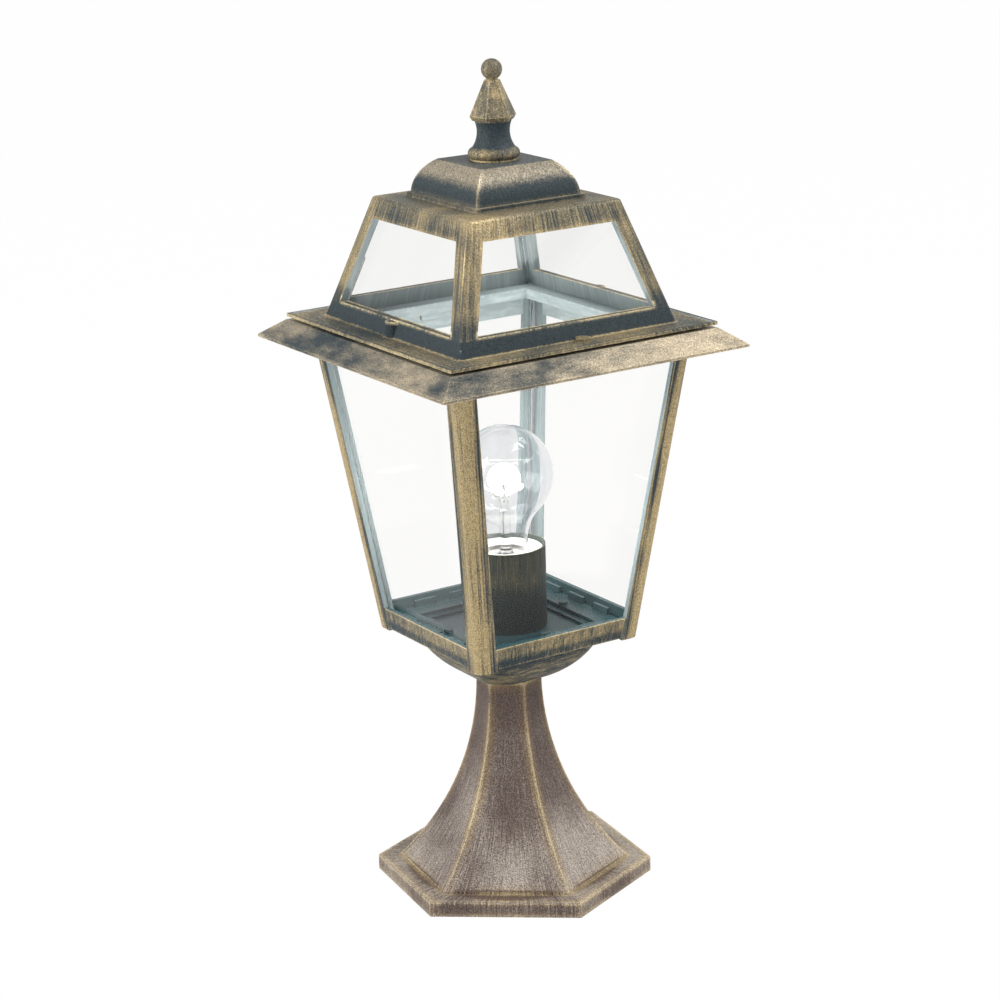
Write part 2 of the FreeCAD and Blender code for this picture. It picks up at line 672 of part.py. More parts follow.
def make_tray():
    """Cast floor of the lantern: rails between the posts, glass ledge with tabs, two steps to the floor."""
    well = body_half(LEDGE_Z) - LEDGE_WIDTH
    step = LEDGE_Z - STEP_DROP
    lug_out = body_half(FLOOR_Z) - POST_WALL
    lug_room = corner_square(lug_out, BODY_LEAN, FLOOR_Z, LEDGE_Z, POST_LUG + POST_FIT)
    seat, below = rod_point(TRAY_UNDER_Z + NUT_SEAT_DEPTH), rod_point(BODY_FOOT_Z)
    spot_face = Part.makeCylinder(ROD_NUT_ACROSS / math.sqrt(3) + ROD_FIT, TRAY_FLOOR, seat, below - seat)
    rod_hole = rod_cylinder(ROD_RADIUS + ROD_FIT, BODY_FOOT_Z, LEDGE_Z)
    hollows = [leaning_block(body_half, POST_WALL, BODY_FOOT_Z, TRAY_UNDER_Z),
               leaning_block(body_half, POST_WALL, LEDGE_Z, RAIL_TOP_Z),
               square_prism(well, step, LEDGE_Z),
               square_prism(well - STEP_WIDTH, FLOOR_Z, step),
               cylinder(TUBE_RADIUS + TUBE_FIT, TRAY_UNDER_Z, FLOOR_Z)]
    hollows += post_notches(BODY_FOOT_Z, RAIL_TOP_Z)
    hollows += bowl_screw_round(BOWL_SCREW_RADIUS + SCREW_FIT, TRAY_UNDER_Z, LEDGE_Z)
    for tool in (lug_room, spot_face, rod_hole):
        hollows += all_round(tool)
    tray = leaning_block(body_half, RAIL_REVEAL, BODY_FOOT_Z, RAIL_TOP_Z).cut(hollows)
    return tray.fuse(glass_tabs(LEDGE_Z, LEDGE_Z + TAB_HEIGHT)).removeSplitter()


def make_post():
    """Cast corner post with a round nose and a bored lug at each end for the tie rod."""
    foot = BODY_FOOT_Z - POST_DROP
    post = corner_angle(body_half(foot), BODY_LEAN, foot, BODY_HEAD_Z, POST_WING, POST_WALL)
    nose_line = body_half(foot) - POST_WALL / 2
    nose = [edge for edge in post.Edges if min(edge.BoundBox.XMin, edge.BoundBox.YMin) > nose_line]
    nose = [edge for edge in nose if edge.BoundBox.ZLength > POST_WALL]
    post = post.makeFillet(POST_NOSE, nose)
    lugs = []
    for low in (FLOOR_Z, BODY_HEAD_Z - LUG_HEIGHT):
        lugs.append(corner_square(body_half(low) - POST_WALL, BODY_LEAN, low, low + LUG_HEIGHT, POST_LUG))
    rod_hole = rod_cylinder(ROD_RADIUS + ROD_FIT, foot, BODY_HEAD_Z + LUG_HEIGHT)
    return post.fuse(lugs).cut(rod_hole).removeSplitter()


def make_tie_rods():
    """Threaded rods in the corners that pull the eave down on the posts."""
    foot = TRAY_UNDER_Z + NUT_SEAT_DEPTH - ROD_NUT_HEIGHT - ROD_TAIL
    return Part.makeCompound(all_round(rod_cylinder(ROD_RADIUS, foot, EAVE_TOP_Z)))


def make_rod_nuts():
    """Nuts on the tie rods, seated square to them under the tray."""
    seat = rod_point(TRAY_UNDER_Z + NUT_SEAT_DEPTH)
    one = nut(ROD_NUT_ACROSS, ROD_RADIUS, -ROD_NUT_HEIGHT, 0)
    one.Placement = FreeCAD.Placement(seat, FreeCAD.Rotation(UP, rod_point(EAVE_TOP_Z) - seat))
    return Part.makeCompound(all_round(one))


def make_pane():
    """Clear pane of the body, standing on the tray's ledge behind the posts."""
    side = ROD_INSET + ROD_RADIUS + PANE_SIDE_GAP
    return leaning_pane(body_half, LEDGE_Z, PANE_TOP_Z, POST_WALL + PANE_FIT, side)


def make_eave():
    """Cast eave: plate with a square opening, skirt, collar between the posts, land under the roof."""
    edge = EAVE_TOP_Z - SKIRT_DROP
    low = edge - SKIRT_EDGE
    edge_half = EAVE_HALF + SKIRT_RUN
    root = EAVE_HALF + SKIRT_RUN * EAVE_PLATE / SKIRT_DROP - SKIRT_ROOT
    shell = mitred((edge_half, low), (edge_half, edge), (EAVE_HALF, EAVE_TOP_Z))
    shell = shell.cut(mitred((edge_half - SKIRT_LIP, low), (root, BODY_HEAD_Z)))
    foot = BODY_HEAD_Z - COLLAR_DROP
    collar = leaning_block(body_half, RAIL_REVEAL, foot, BODY_HEAD_Z)
    collar = collar.cut(leaning_block(body_half, POST_WALL, foot, BODY_HEAD_Z))
    collar = collar.cut(post_notches(foot, BODY_HEAD_Z))
    boss_foot = ROOF_FOOT_Z - SCREW_LENGTH
    glass_room = leaning_block(body_half, POST_WALL, boss_foot, BODY_HEAD_Z)
    bosses = [cylinder(SCREW_RADIUS + SCREW_WALL, boss_foot, BODY_HEAD_Z, x, y).cut(glass_room)
              for x, y in SCREW_PLACES]
    eave = shell.fuse([square_prism(LAND_HALF, EAVE_TOP_Z, LAND_Z), collar] + bosses)
    eave = eave.fuse(glass_tabs(PANE_TOP_Z - TAB_HEIGHT, BODY_HEAD_Z))
    cuts = [cylinder(SCREW_RADIUS + THREAD_FIT, boss_foot, LAND_Z, x, y) for x, y in SCREW_PLACES]
    cuts.append(square_prism(OPENING_HALF, BODY_HEAD_Z, LAND_Z))
    cuts += all_round(rod_cylinder(ROD_RADIUS + THREAD_FIT, PANE_TOP_Z, LAND_Z))
    return eave.cut(cuts).removeSplitter()


def roof_window():
    """Cutter for the window in the -Y slope, with its stiles parallel to the hips."""
    lintel = ROOF_TOP_Z - ROOF_TOP_RAIL
    corners = [(-1, ROOF_SILL_Z), (1, ROOF_SILL_Z), (1, lintel), (-1, lintel)]
    points = [Vector(side * (roof_half(z) - HIP_STILE), -FLANGE_HALF, z) for side, z in corners]
    return polygon(points).extrude(Vector(0, FLANGE_HALF, 0))


def make_roof_frame():
    """Cast roof: beaded flange, four sloping window frames, closed top, a lug on two sides."""
    slopes = leaning_block(roof_half, 0, ROOF_FOOT_Z, ROOF_TOP_Z)
    soft = [edge for edge in slopes.Edges if edge.BoundBox.ZMax > ROOF_TOP_Z - ROOF_EDGE_ROUND]
    slopes = slopes.makeFillet(ROOF_EDGE_ROUND, soft)
    bead_top = ROOF_FOOT_Z + BEAD_HEIGHT
    bead_half = FLANGE_HALF - BEAD_WIDTH
    bead = square_prism(FLANGE_HALF, ROOF_FOOT_Z, bead_top)
    bead = bead.cut(mitred((bead_half, ROOF_FOOT_Z), (bead_half + BEAD_HEIGHT, bead_top)))
    lug = cylinder(LUG_RADIUS, ROOF_FOOT_Z, ROOF_SILL_Z - LUG_SHORT, -roof_half(ROOF_SILL_Z))
    frame = slopes.fuse([square_prism(FLANGE_HALF, LAND_Z, ROOF_FOOT_Z), bead, lug, turned(lug, 180)])
    cuts = all_round(roof_window())
    cuts.append(leaning_block(roof_half, ROOF_WALL, ROOF_FOOT_Z, ROOF_CEILING_Z))
    cuts.append(square_prism(OPENING_HALF, LAND_Z, ROOF_FOOT_Z))
    cuts.append(cylinder(STUD_RADIUS + STUD_FIT, ROOF_CEILING_Z, ROOF_TOP_Z))
    cuts += [cylinder(SCREW_RADIUS + SCREW_FIT, LAND_Z, ROOF_FOOT_Z, x, y) for x, y in SCREW_PLACES]
    return frame.cut(cuts).removeSplitter()


def make_roof_pane():
    """Clear pane behind a roof window, standing on the flange's inner ledge."""
    top = ROOF_CEILING_Z - ROOF_PANE_HEADROOM
    return leaning_pane(roof_half, ROOF_FOOT_Z, top, ROOF_WALL + PANE_FIT, ROOF_WALL + CLIP_CELL)


def make_pane_clips():
    """Spring angles in two opposite corners of the roof, each holding two panes against the frame."""
    low = ROOF_FOOT_Z + CLIP_FOOT
    out = roof_half(low) - ROOF_WALL - PANE - 2 * PANE_FIT
    clip = corner_angle(out, ROOF_LEAN, low, low + CLIP_HEIGHT, CLIP_WING, CLIP_THICKNESS)
    return Part.makeCompound([clip, turned(clip, 180)])


def make_roof_screws():
    """Slotted screws that hold the roof down on the eave."""
    screws = []
    top = ROOF_FOOT_Z + SCREW_HEAD_HEIGHT
    half_slot = SCREW_SLOT_WIDTH / 2
    for x, y in SCREW_PLACES:
        head = cylinder(SCREW_HEAD_RADIUS, ROOF_FOOT_Z, top, x, y)
        slot = block(x - SCREW_HEAD_RADIUS, x + SCREW_HEAD_RADIUS, y - half_slot, y + half_slot,
                     top - SCREW_SLOT_DEPTH, top)
        shank = cylinder(SCREW_RADIUS, ROOF_FOOT_Z - SCREW_LENGTH, ROOF_FOOT_Z, x, y)
        screws.append(head.cut(slot).fuse(shank))
    return Part.makeCompound(screws)


def cap_dome(inset):
    """The cap above its flange: four full curves in to a flat top, set in from the outside."""
    low_half, high_half, top = CAP_BASE_HALF - inset, CAP_TOP_HALF - inset, CAP_TOP_Z - inset
    run, rise = low_half - high_half, top - CAP_BASE_Z
    bulge = CAP_BULGE / math.hypot(run, rise)
    middle = ((low_half + high_half) / 2 + bulge * rise, (CAP_BASE_Z + top) / 2 + bulge * run)
    return mitred((low_half, CAP_BASE_Z), (middle, (high_half, top)))


def make_roof_cap():
    """Hollow cast cap: thin flange, bulging sides, flat top under the finial."""
    flange = square_prism(CAP_FLANGE_HALF, ROOF_TOP_Z, CAP_BASE_Z)
    hollow = [square_prism(CAP_BASE_HALF - CAP_WALL, ROOF_TOP_Z, CAP_BASE_Z), cap_dome(CAP_WALL),
              cylinder(STUD_RADIUS + STUD_FIT, CAP_TOP_Z - CAP_WALL, CAP_TOP_Z)]
    return flange.fuse(cap_dome(0)).cut(hollow).removeSplitter()


def make_finial():
    """Cast finial: bead, hollow waist, six-sided spire and ball, bored for its stud."""
    disc = CAP_TOP_Z + FINIAL_DISC
    bead = disc + FINIAL_BEAD
    spire = bead + FINIAL_WAIST
    rim = spire + SPIRE_RIM
    tip = rim + SPIRE_HEIGHT
    ball = tip + BALL_NECK + math.sqrt(BALL_RADIUS ** 2 - BALL_NECK_RADIUS ** 2)
    bead_side = (FINIAL_BEAD_RADIUS, (disc + bead) / 2)
    waist = (FINIAL_WAIST_RADIUS, (bead + spire) / 2)
    foot = revolved([(0, CAP_TOP_Z), (FINIAL_DISC_RADIUS, CAP_TOP_Z), (FINIAL_DISC_RADIUS, disc),
                     (bead_side, (FINIAL_SHOULDER_RADIUS, bead)), (waist, (FINIAL_COLLAR_RADIUS, spire)),
                     (0, spire)])
    foot_ring, rim_ring, tip_ring = [six_sided(radius, z, FINIAL_TURN) for radius, z in (
        (SPIRE_FOOT_RADIUS, spire), (SPIRE_RIM_RADIUS, rim), (SPIRE_TIP_RADIUS, tip))]
    finial = foot.fuse([flat_sided(foot_ring, rim_ring),
                        flat_sided(rim_ring, tip_ring),
                        cylinder(BALL_NECK_RADIUS, tip, ball),
                        Part.makeSphere(BALL_RADIUS, Vector(0, 0, ball))])
    socket = cylinder(STUD_RADIUS + THREAD_FIT, CAP_TOP_Z, CAP_TOP_Z + STUD_GRIP)
    return finial.cut(socket).removeSplitter()


def make_finial_stud():
    """Threaded stud from the finial down through the cap and the roof's top."""
    foot = ROOF_CEILING_Z - WASHER_THICKNESS - STUD_NUT_HEIGHT - STUD_TAIL
    return cylinder(STUD_RADIUS, foot, CAP_TOP_Z + STUD_GRIP)


def make_finial_washer():
    """Washer under the roof's top plate."""
    low = ROOF_CEILING_Z - WASHER_THICKNESS
    return tube(STUD_WASHER_RADIUS, STUD_RADIUS + STUD_FIT, low, ROOF_CEILING_Z)


def make_finial_nut():
    """Nut that draws the finial and the cap down on the roof."""
    top = ROOF_CEILING_Z - WASHER_THICKNESS
    return nut(STUD_NUT_ACROSS, STUD_RADIUS, top - STUD_NUT_HEIGHT, top)


def make_lamp_sleeve():
    """Spun metal cup round the lampholder."""
    top = FLOOR_Z + SLEEVE_HEIGHT
    cup = cylinder(SLEEVE_RADIUS, FLOOR_Z, top)
    return cup.cut([cylinder(SLEEVE_RADIUS - SLEEVE_WALL, SLEEVE_FLOOR_Z, top),
                    cylinder(TUBE_RADIUS + TUBE_FIT, FLOOR_Z, SLEEVE_FLOOR_Z)])


def make_lamp_holder():
    """Porcelain holder with a wide rim, screwed on the tie tube."""
    side = HOLDER_BORE + HOLDER_WALL
    rim = SLEEVE_RADIUS - SLEEVE_WALL - HOLDER_RIM_FIT
    rim_foot = HOLDER_TOP_Z - HOLDER_RIM
    socket = TUBE_RADIUS + THREAD_FIT
    socket_top = HOLDER_FOOT_Z + HOLDER_SOCKET
    return revolved([(socket, HOLDER_FOOT_Z), (side, HOLDER_FOOT_Z), (side, rim_foot - (rim - side)),
                     (rim, rim_foot), (rim, HOLDER_TOP_Z), (HOLDER_BORE, HOLDER_TOP_Z),
                     (HOLDER_BORE, HOLDER_FLOOR_Z), (TUBE_BORE, HOLDER_FLOOR_Z), (TUBE_BORE, socket_top),
                     (socket, socket_top)])


def make_holder_shell():
    """Brass screw shell of the holder, with a tail along the floor to its lead."""
    outer = SHELL_BORE + SHELL_WALL
    foot = HOLDER_FLOOR_Z + SHELL_FOOT
    shell = tube(outer, SHELL_BORE, HOLDER_FLOOR_Z, foot + SHELL_HEIGHT)
    half = SHELL_TAIL_WIDTH / 2
    lead_edge = WIRE_SPREAD - WIRE_RADIUS / 2
    shell = shell.cut([block(-outer, outer, -outer, 0, HOLDER_FLOOR_Z, foot),
                       block(-outer, -half, 0, outer, HOLDER_FLOOR_Z, foot),
                       block(half, outer, 0, outer, HOLDER_FLOOR_Z, foot)])
    tail = block(-half, half, lead_edge, outer, HOLDER_FLOOR_Z, HOLDER_FLOOR_Z + SHELL_WALL)
    tail = tail.common(cylinder(outer, HOLDER_FLOOR_Z, foot))
    return turned(shell.fuse(tail).removeSplitter(), PEDESTAL_TURN)


def make_holder_contact():
    """Folded spring strip under the lamp's centre contact."""
    path = [(WIRE_RADIUS / 2 - WIRE_SPREAD, 0), (-CONTACT_LENGTH, 0), (-CONTACT_LENGTH, CONTACT_RISE),
            (CONTACT_TIP, CONTACT_RISE)]
    strip = folded_strip(path, -CONTACT_STRIP, CONTACT_WIDTH)
    strip.translate(Vector(0, 0, HOLDER_FLOOR_Z))
    return turned(strip, PEDESTAL_TURN + 90)


def bulb_profile(inset):
    """Lamp glass from its foot to its crown, set in by the glass thickness."""
    radius, neck, blend = BULB_RADIUS - inset, BULB_NECK_RADIUS - inset, BULB_BLEND + inset
    foot = GLASS_FOOT_RADIUS - inset
    blend_z = BULB_RIM_Z + BULB_NECK
    blend_x = BULB_NECK_RADIUS + BULB_BLEND
    reach = BULB_RADIUS + BULB_BLEND
    slope = math.acos(blend_x / reach)
    centre = blend_z + reach * math.sin(slope)
    waist = (blend_x - blend * math.cos(slope / 2), blend_z + blend * math.sin(slope / 2))
    join = (radius * math.cos(slope), centre - radius * math.sin(slope))
    side = (radius * math.cos(slope / 2), centre + radius * math.sin(slope / 2))
    return [(0, GLASS_FOOT_Z), (foot, GLASS_FOOT_Z), (foot, BULB_RIM_Z), (neck, BULB_RIM_Z + BULB_GLASS),
            (neck, blend_z), (waist, join), (side, (0, centre + radius))]


def make_bulb_glass():
    """Clear blown envelope, its neck cemented into the cap."""
    return revolved(bulb_profile(0)).cut(revolved(bulb_profile(BULB_GLASS)))


def make_bulb_cap():
    """Screw cap of the lamp."""
    return tube(BULB_CAP_RADIUS, BULB_CAP_RADIUS - BULB_CAP_WALL, BULB_CAP_Z, BULB_RIM_Z)


def make_bulb_insulator():
    """Dark glass insulator that closes the cap's foot round the centre contact."""
    low = BULB_TIP_Z + TIP_HEIGHT
    rim = BULB_CAP_RADIUS - BULB_CAP_WALL / 2
    return revolved([(0, low), (TIP_RADIUS, low), (rim, BULB_CAP_Z), (0, BULB_CAP_Z)])


def make_bulb_contact():
    """Solder tip at the lamp's foot."""
    top = BULB_TIP_Z + TIP_HEIGHT
    return revolved([(0, BULB_TIP_Z), (TIP_FLAT_RADIUS, BULB_TIP_Z), (TIP_RADIUS, top), (0, top)])


def make_bulb_stem():
    """Glass mount: flared foot, tube, pressed seal and the rod that rises from it."""
    rim = GLASS_FOOT_RADIUS - BULB_GLASS - CEMENT_GAP
    skirt = GLASS_FOOT_Z + BULB_GLASS
    bend = STEM_FLARE * (1 - 1 / math.sqrt(2))
    hollow = (STEM_RADIUS + bend, skirt + bend)
    mount = revolved([(0, GLASS_FOOT_Z), (rim, GLASS_FOOT_Z), (rim, skirt), (STEM_RADIUS + STEM_FLARE, skirt),
                      (hollow, (STEM_RADIUS, skirt + STEM_FLARE)), (STEM_RADIUS, PRESS_Z), (0, PRESS_Z)])
    depth, width = PRESS_DEPTH / 2, PRESS_WIDTH / 2
    press = block(-depth, depth, -width, width, PRESS_Z, PRESS_TOP_Z)
    rod_top = PRESS_TOP_Z + STEM_ROD
    rod = cylinder(STEM_ROD_RADIUS, PRESS_TOP_Z, rod_top)
    button = Part.makeSphere(STEM_BUTTON_RADIUS, Vector(0, 0, rod_top))
    return mount.fuse([press, rod, button]).removeSplitter()


def filament_point(angle):
    """Point on the filament's ring, which is level and open at the back."""
    turn = math.radians(angle)
    level = PRESS_TOP_Z + FILAMENT_RISE
    return Vector(FILAMENT_RING * math.sin(turn), -FILAMENT_RING * math.cos(turn), level)


def make_bulb_filament():
    """Coiled filament bent into an open ring."""
    half = FILAMENT_ARC / 2
    path = Part.Arc(filament_point(-half), filament_point(0), filament_point(half)).toShape()
    tangent = path.tangentAt(path.FirstParameter)
    section = Part.Wire(Part.makeCircle(FILAMENT_RADIUS, filament_point(-half), tangent))
    return Part.Wire([path]).makePipeShell([section], True, False)


def make_bulb_leads():
    """Two lead-in wires from the pressed seal to the filament's ends."""
    leads = []
    for side in (-1, 1):
        start = Vector(side * LEAD_SPREAD, 0, PRESS_TOP_Z + LEAD_RADIUS)
        end = filament_point(side * FILAMENT_ARC / 2) - UP * (FILAMENT_RADIUS + LEAD_RADIUS)
        leads.append(Part.makeCylinder(LEAD_RADIUS, (end - start).Length, start, end - start))
    return Part.makeCompound(leads)


def build():
    """Every piece of the lantern by name."""
    pieces = {
        "pedestal": make_pedestal(),
        "mounting_bridge": make_mounting_bridge(),
        "tie_tube": make_tie_tube(),
        "tube_nuts": make_tube_nuts(),
        "tube_washer": make_tube_washer(),
        "terminal_block": make_terminal_block(),
        "lead_wires": make_lead_wires(),
        "earth_screw": make_earth_screw(),
        "bowl": make_bowl(),
        "bowl_screws": make_bowl_screws(),
        "tray": make_tray(),
        "tie_rods": make_tie_rods(),
        "rod_nuts": make_rod_nuts(),
        "eave": make_eave(),
        "roof_frame": make_roof_frame(),
        "pane_clips": make_pane_clips(),
        "roof_screws": make_roof_screws(),
        "roof_cap": make_roof_cap(),
        "finial": make_finial(),
        "finial_stud": make_finial_stud(),
        "finial_washer": make_finial_washer(),
        "finial_nut": make_finial_nut(),
        "lamp_sleeve": make_lamp_sleeve(),
        "lamp_holder": make_lamp_holder(),
        "holder_shell": make_holder_shell(),
        "holder_contact": make_holder_contact(),
        "bulb_glass": make_bulb_glass(),
        "bulb_cap": make_bulb_cap(),
        "bulb_insulator": make_bulb_insulator(),
        "bulb_contact": make_bulb_contact(),
        "bulb_stem": make_bulb_stem(),
        "bulb_leads": make_bulb_leads(),
        "bulb_filament": make_bulb_filament(),
    }
    post, pane, roof_pane = make_post(), make_pane(), make_roof_pane()
    for name, angle in CORNERS.items():
        pieces["post_" + name] = turned(post, angle)
    for name, angle in FACES.items():
        pieces["pane_" + name] = turned(pane, angle)
        pieces["roof_pane_" + name] = turned(roof_pane, angle)
    return pieces


def main():
    """Write each piece to its own file."""
    os.makedirs("parts", exist_ok=True)
    for name, shape in build().items():
        shape.exportStep(f"parts/{name}.step")


if __name__ == "__main__":
    main()
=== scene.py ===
"""Finishes, lamp and stage for a pedestal lantern, laid out as an add-on and run as a script."""
import functools
import math
from typing import NamedTuple

import bpy
from mathutils import Matrix, Vector


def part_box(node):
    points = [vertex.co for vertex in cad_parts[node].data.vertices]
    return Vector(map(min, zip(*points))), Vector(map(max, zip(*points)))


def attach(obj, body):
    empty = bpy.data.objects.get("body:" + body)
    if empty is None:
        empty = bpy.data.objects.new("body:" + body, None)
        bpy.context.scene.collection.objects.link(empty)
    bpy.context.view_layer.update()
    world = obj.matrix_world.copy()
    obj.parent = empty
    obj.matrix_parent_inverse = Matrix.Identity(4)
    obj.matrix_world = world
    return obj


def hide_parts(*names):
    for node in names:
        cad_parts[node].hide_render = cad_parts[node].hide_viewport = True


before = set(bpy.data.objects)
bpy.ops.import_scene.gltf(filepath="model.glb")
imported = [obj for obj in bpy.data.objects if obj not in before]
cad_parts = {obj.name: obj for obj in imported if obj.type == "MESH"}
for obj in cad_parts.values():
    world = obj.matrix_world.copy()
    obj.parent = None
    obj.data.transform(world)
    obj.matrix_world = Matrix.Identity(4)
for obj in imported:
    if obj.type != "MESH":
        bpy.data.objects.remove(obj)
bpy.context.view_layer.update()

bl_info = {
    "name": "Pedestal Lantern",
    "version": (1, 0, 0),
    "blender": (4, 5, 0),
    "location": "View3D > Sidebar > Lantern",
    "description": "Brushed antique finish, glass, lamp and stage for a pedestal lantern",
    "category": "Object",
}


class Band(NamedTuple):
    """A soft band of level on a casting, in metres, and how strongly it acts."""

    low: float
    high: float
    fade: float
    strength: float


class Taper(NamedTuple):
    """Four walls that lean: their half width at a level, and how far they widen with height."""

    level: float
    half: float
    lean: float


SIDES = ("front", "right", "rear", "left")
CORNERS = ("rear_right", "rear_left", "front_left", "front_right")
BODY_TAPER = Taper(level=0.150, half=0.0574, lean=0.1346)
ROOF_TAPER = Taper(level=0.362, half=0.0752, lean=-0.3112)
RAIL_HEIGHT = 0.0131
RAIL_DEPTH = 0.0035
ROOF_LEDGE_HEIGHT = 0.006
ROOF_LEDGE_HALF = 0.0735
PLATE_TOP = 0.0105
FLARE_FOOT_RADIUS = 0.062
COLUMN_RADIUS = 0.045
SLEEVE_RADIUS = 0.024
COIL_HALF_ANGLE = math.radians(120)
COIL_STEPS_PER_TURN = 10
GLASS_WAVE_SCALE = 60.0
GLASS_WAVE_DEPTH = 0.0006
TARNISH_SCALE = 240.0
TARNISH_DARK = 0.45
THREAD_SCALE = 44.0
THREAD_DEPTH = 0.001
FLOOR_REACH = 12.0
FLOOR_GAP = 0.0002
SENSOR_WIDTH = 36.0


def everywhere(strength):
    """A band over every level of the lantern."""
    return [Band(-1.0, 1.0, fade=0.1, strength=strength)]


def colour(name, description, default):
    """A colour setting."""
    return bpy.props.FloatVectorProperty(name=name, description=description, default=default,
                                         size=3, min=0.0, max=1.0, subtype="COLOR")


def share(name, description, default):
    """A setting from none to all."""
    return bpy.props.FloatProperty(name=name, description=description, default=default,
                                   min=0.0, max=1.0, subtype="FACTOR")


def length(name, description, default):
    """A length setting."""
    return bpy.props.FloatProperty(name=name, description=description, default=default,
                                   min=0.0, unit="LENGTH")


def angle(name, description, degrees):
    """An angle setting."""
    return bpy.props.FloatProperty(name=name, description=description,
                                   default=math.radians(degrees), unit="ROTATION")


def power(name, description, default):
    """A lamp's power setting."""
    return bpy.props.FloatProperty(name=name, description=description, default=default,
                                   min=0.0, unit="POWER")


def brightness(name, description, default):
    """A plain brightness setting."""
    return bpy.props.FloatProperty(name=name, description=description, default=default, min=0.0)


def place(name, description, default):
    """A setting of a place in the scene."""
    return bpy.props.FloatVectorProperty(name=name, description=description, default=default,
                                         size=3, subtype="XYZ", unit="LENGTH")


class FinishSettings(bpy.types.PropertyGroup):
    """Colours of the painted castings, the glass and the fittings."""

    slate: colour("Slate", "Dark ground coat on the castings", (0.030, 0.043, 0.049))
    gold: colour("Gold", "Gold brushed over the ground coat", (0.415, 0.322, 0.170))
    champagne: colour("Champagne", "Paler gold on the eave and the cap", (0.420, 0.350, 0.245))
    ridge_gold: colour("Ridge gold", "Warm gold beside the pedestal's ridges",
                       (0.400, 0.255, 0.085))
    # Pale gold on edges: partly bare worn gold, partly a painted highlight where edges catch the
    # light.
    edge_gold_and_highlight: colour("Pale gold", "Bare bright gold along the edges", (0.780, 0.640, 0.380))
    inner_slate: colour("Inner slate", "Castings seen from inside the glass",
                        (0.205, 0.250, 0.260))
    # Inside of the roof and the eave: the teal-slate lining made paler, as painted light from the
    # lamp on those inner faces.
    lit_roof_lining: colour("Roof lining", "Inside of the roof and the eave", (0.330, 0.385, 0.395))
    tray_teal: colour("Tray teal", "Inside of the tray", (0.030, 0.060, 0.066))
    taupe: colour("Taupe", "Worn ground coat of the pedestal", (0.096, 0.069, 0.059))
    cream: colour("Cream", "Dry strokes on the pedestal", (0.405, 0.357, 0.305))
    sleeve_dark: colour("Sleeve dark", "Ground coat of the lamp sleeve", (0.022, 0.030, 0.027))
    pane_tint: colour("Pane tint", "Tint of the body's panes", (0.988, 0.986, 0.980))
    roof_pane_tint: colour("Roof pane tint", "Tint of the roof's panes, a little dusty",
                           (0.958, 0.957, 0.950))
    pane_bend: bpy.props.FloatProperty(name="Pane bend",
                                       description="How strongly the panes turn and mirror light",
                                       default=1.2, min=1.0)
    porcelain: colour("Porcelain", "Glazed lampholder", (0.820, 0.810, 0.770))
    brass: colour("Brass", "Contacts and terminals", (0.620, 0.440, 0.160))
    nickel: colour("Nickel", "Lamp cap, screw shell and pane clips", (0.830, 0.820, 0.790))
    zinc: colour("Zinc", "Plated steel fittings", (0.480, 0.490, 0.500))
    nylon: colour("Nylon", "Terminal block", (0.70, 0.69, 0.64))
    nylon_shade: colour("Nylon shade", "Darker mottle of the terminal block", (0.60, 0.59, 0.54))
    silicone: colour("Silicone", "Sleeves of the leads", (0.16, 0.060, 0.026))
    silicone_dust: colour("Silicone dust", "Dust on the leads", (0.23, 0.095, 0.045))
    grain: share("Grain", "Contrast of the paint's fine grain", 0.48)


class LampSettings(bpy.types.PropertyGroup):
    """The lit lamp."""

    envelope_tint: colour("Lamp tint", "Tint of the lamp's glass", (0.925, 0.932, 0.945))
    stem_tint: colour("Stem tint", "Tint of the glass stem", (0.97, 0.97, 0.96))
    solder: colour("Solder", "Contact under the cap", (0.55, 0.55, 0.54))
    lead_in: colour("Lead-in wires", "Wires that carry the filament", (0.60, 0.58, 0.54))
    insulator: colour("Insulator", "Black glass under the cap", (0.012, 0.012, 0.016))
    insulator_swirl: colour("Insulator swirl", "Paler swirl in the black glass",
                            (0.030, 0.028, 0.034))
    tungsten: colour("Tungsten", "Metal of the filament", (0.9, 0.8, 0.6))
    glow: colour("Glow", "Light of the filament", (1.0, 0.96, 0.91))
    warm_glow: colour("Warm glow", "Cooler parts of the filament", (1.0, 0.9, 0.7))
    filament_light: brightness("Filament light", "Brightness of the filament's coil", 25.0)
    room_light: power("Lamp light", "Light that the lamp throws around it", 0.8)
    core_radius: length("Core", "Radius of the white-hot core", 0.0105)
    core_lift: length("Core lift", "Height of the core over the filament", 0.004)
    coil_turns: bpy.props.IntProperty(name="Coil turns",
                                      description="Turns of the filament's coil",
                                      default=60, min=8)
    coil_wire: length("Coil wire", "Radius of the filament's wire", 0.00017)


class StageSettings(bpy.types.PropertyGroup):
    """Floor, lights and camera."""

    floor: colour("Floor", "Pale floor", (0.90, 0.90, 0.90))
    floor_white: share("Floor white", "How much of the floor shows as plain white", 0.985)
    sky_light: brightness("Sky light", "Even light from all round", 0.37)
    key_light: power("Key light", "Large lamp on the left", 33.0)
    key_place: place("Key place", "Where the left lamp hangs", (-1.65, 0.35, 1.15))
    fill_light: power("Fill light", "Large lamp on the right", 40.0)
    fill_place: place("Fill place", "Where the right lamp hangs", (0.95, -1.0, 1.85))
    light_size: length("Light size", "Side of the large lamps", 1.5)
    azimuth: angle("Azimuth", "Camera's turn round the lantern", -32.872)
    elevation: angle("Elevation", "Camera's height over the horizon", 16.709)
    roll: angle("Roll", "Camera's roll", -1.66)
    distance: length("Distance", "Camera's distance from its aim", 1.6819)
    aim_height: length("Aim height", "Height of the camera's aim", 0.241437)
    aim_shift: bpy.props.FloatProperty(name="Aim shift",
                                       description="Sideways shift of the camera's aim",
                                       default=-0.0023, unit="LENGTH")
    lens: bpy.props.FloatProperty(name="Lens", description="Focal length in millimetres",
                                  default=100.64, min=1.0, unit="CAMERA")


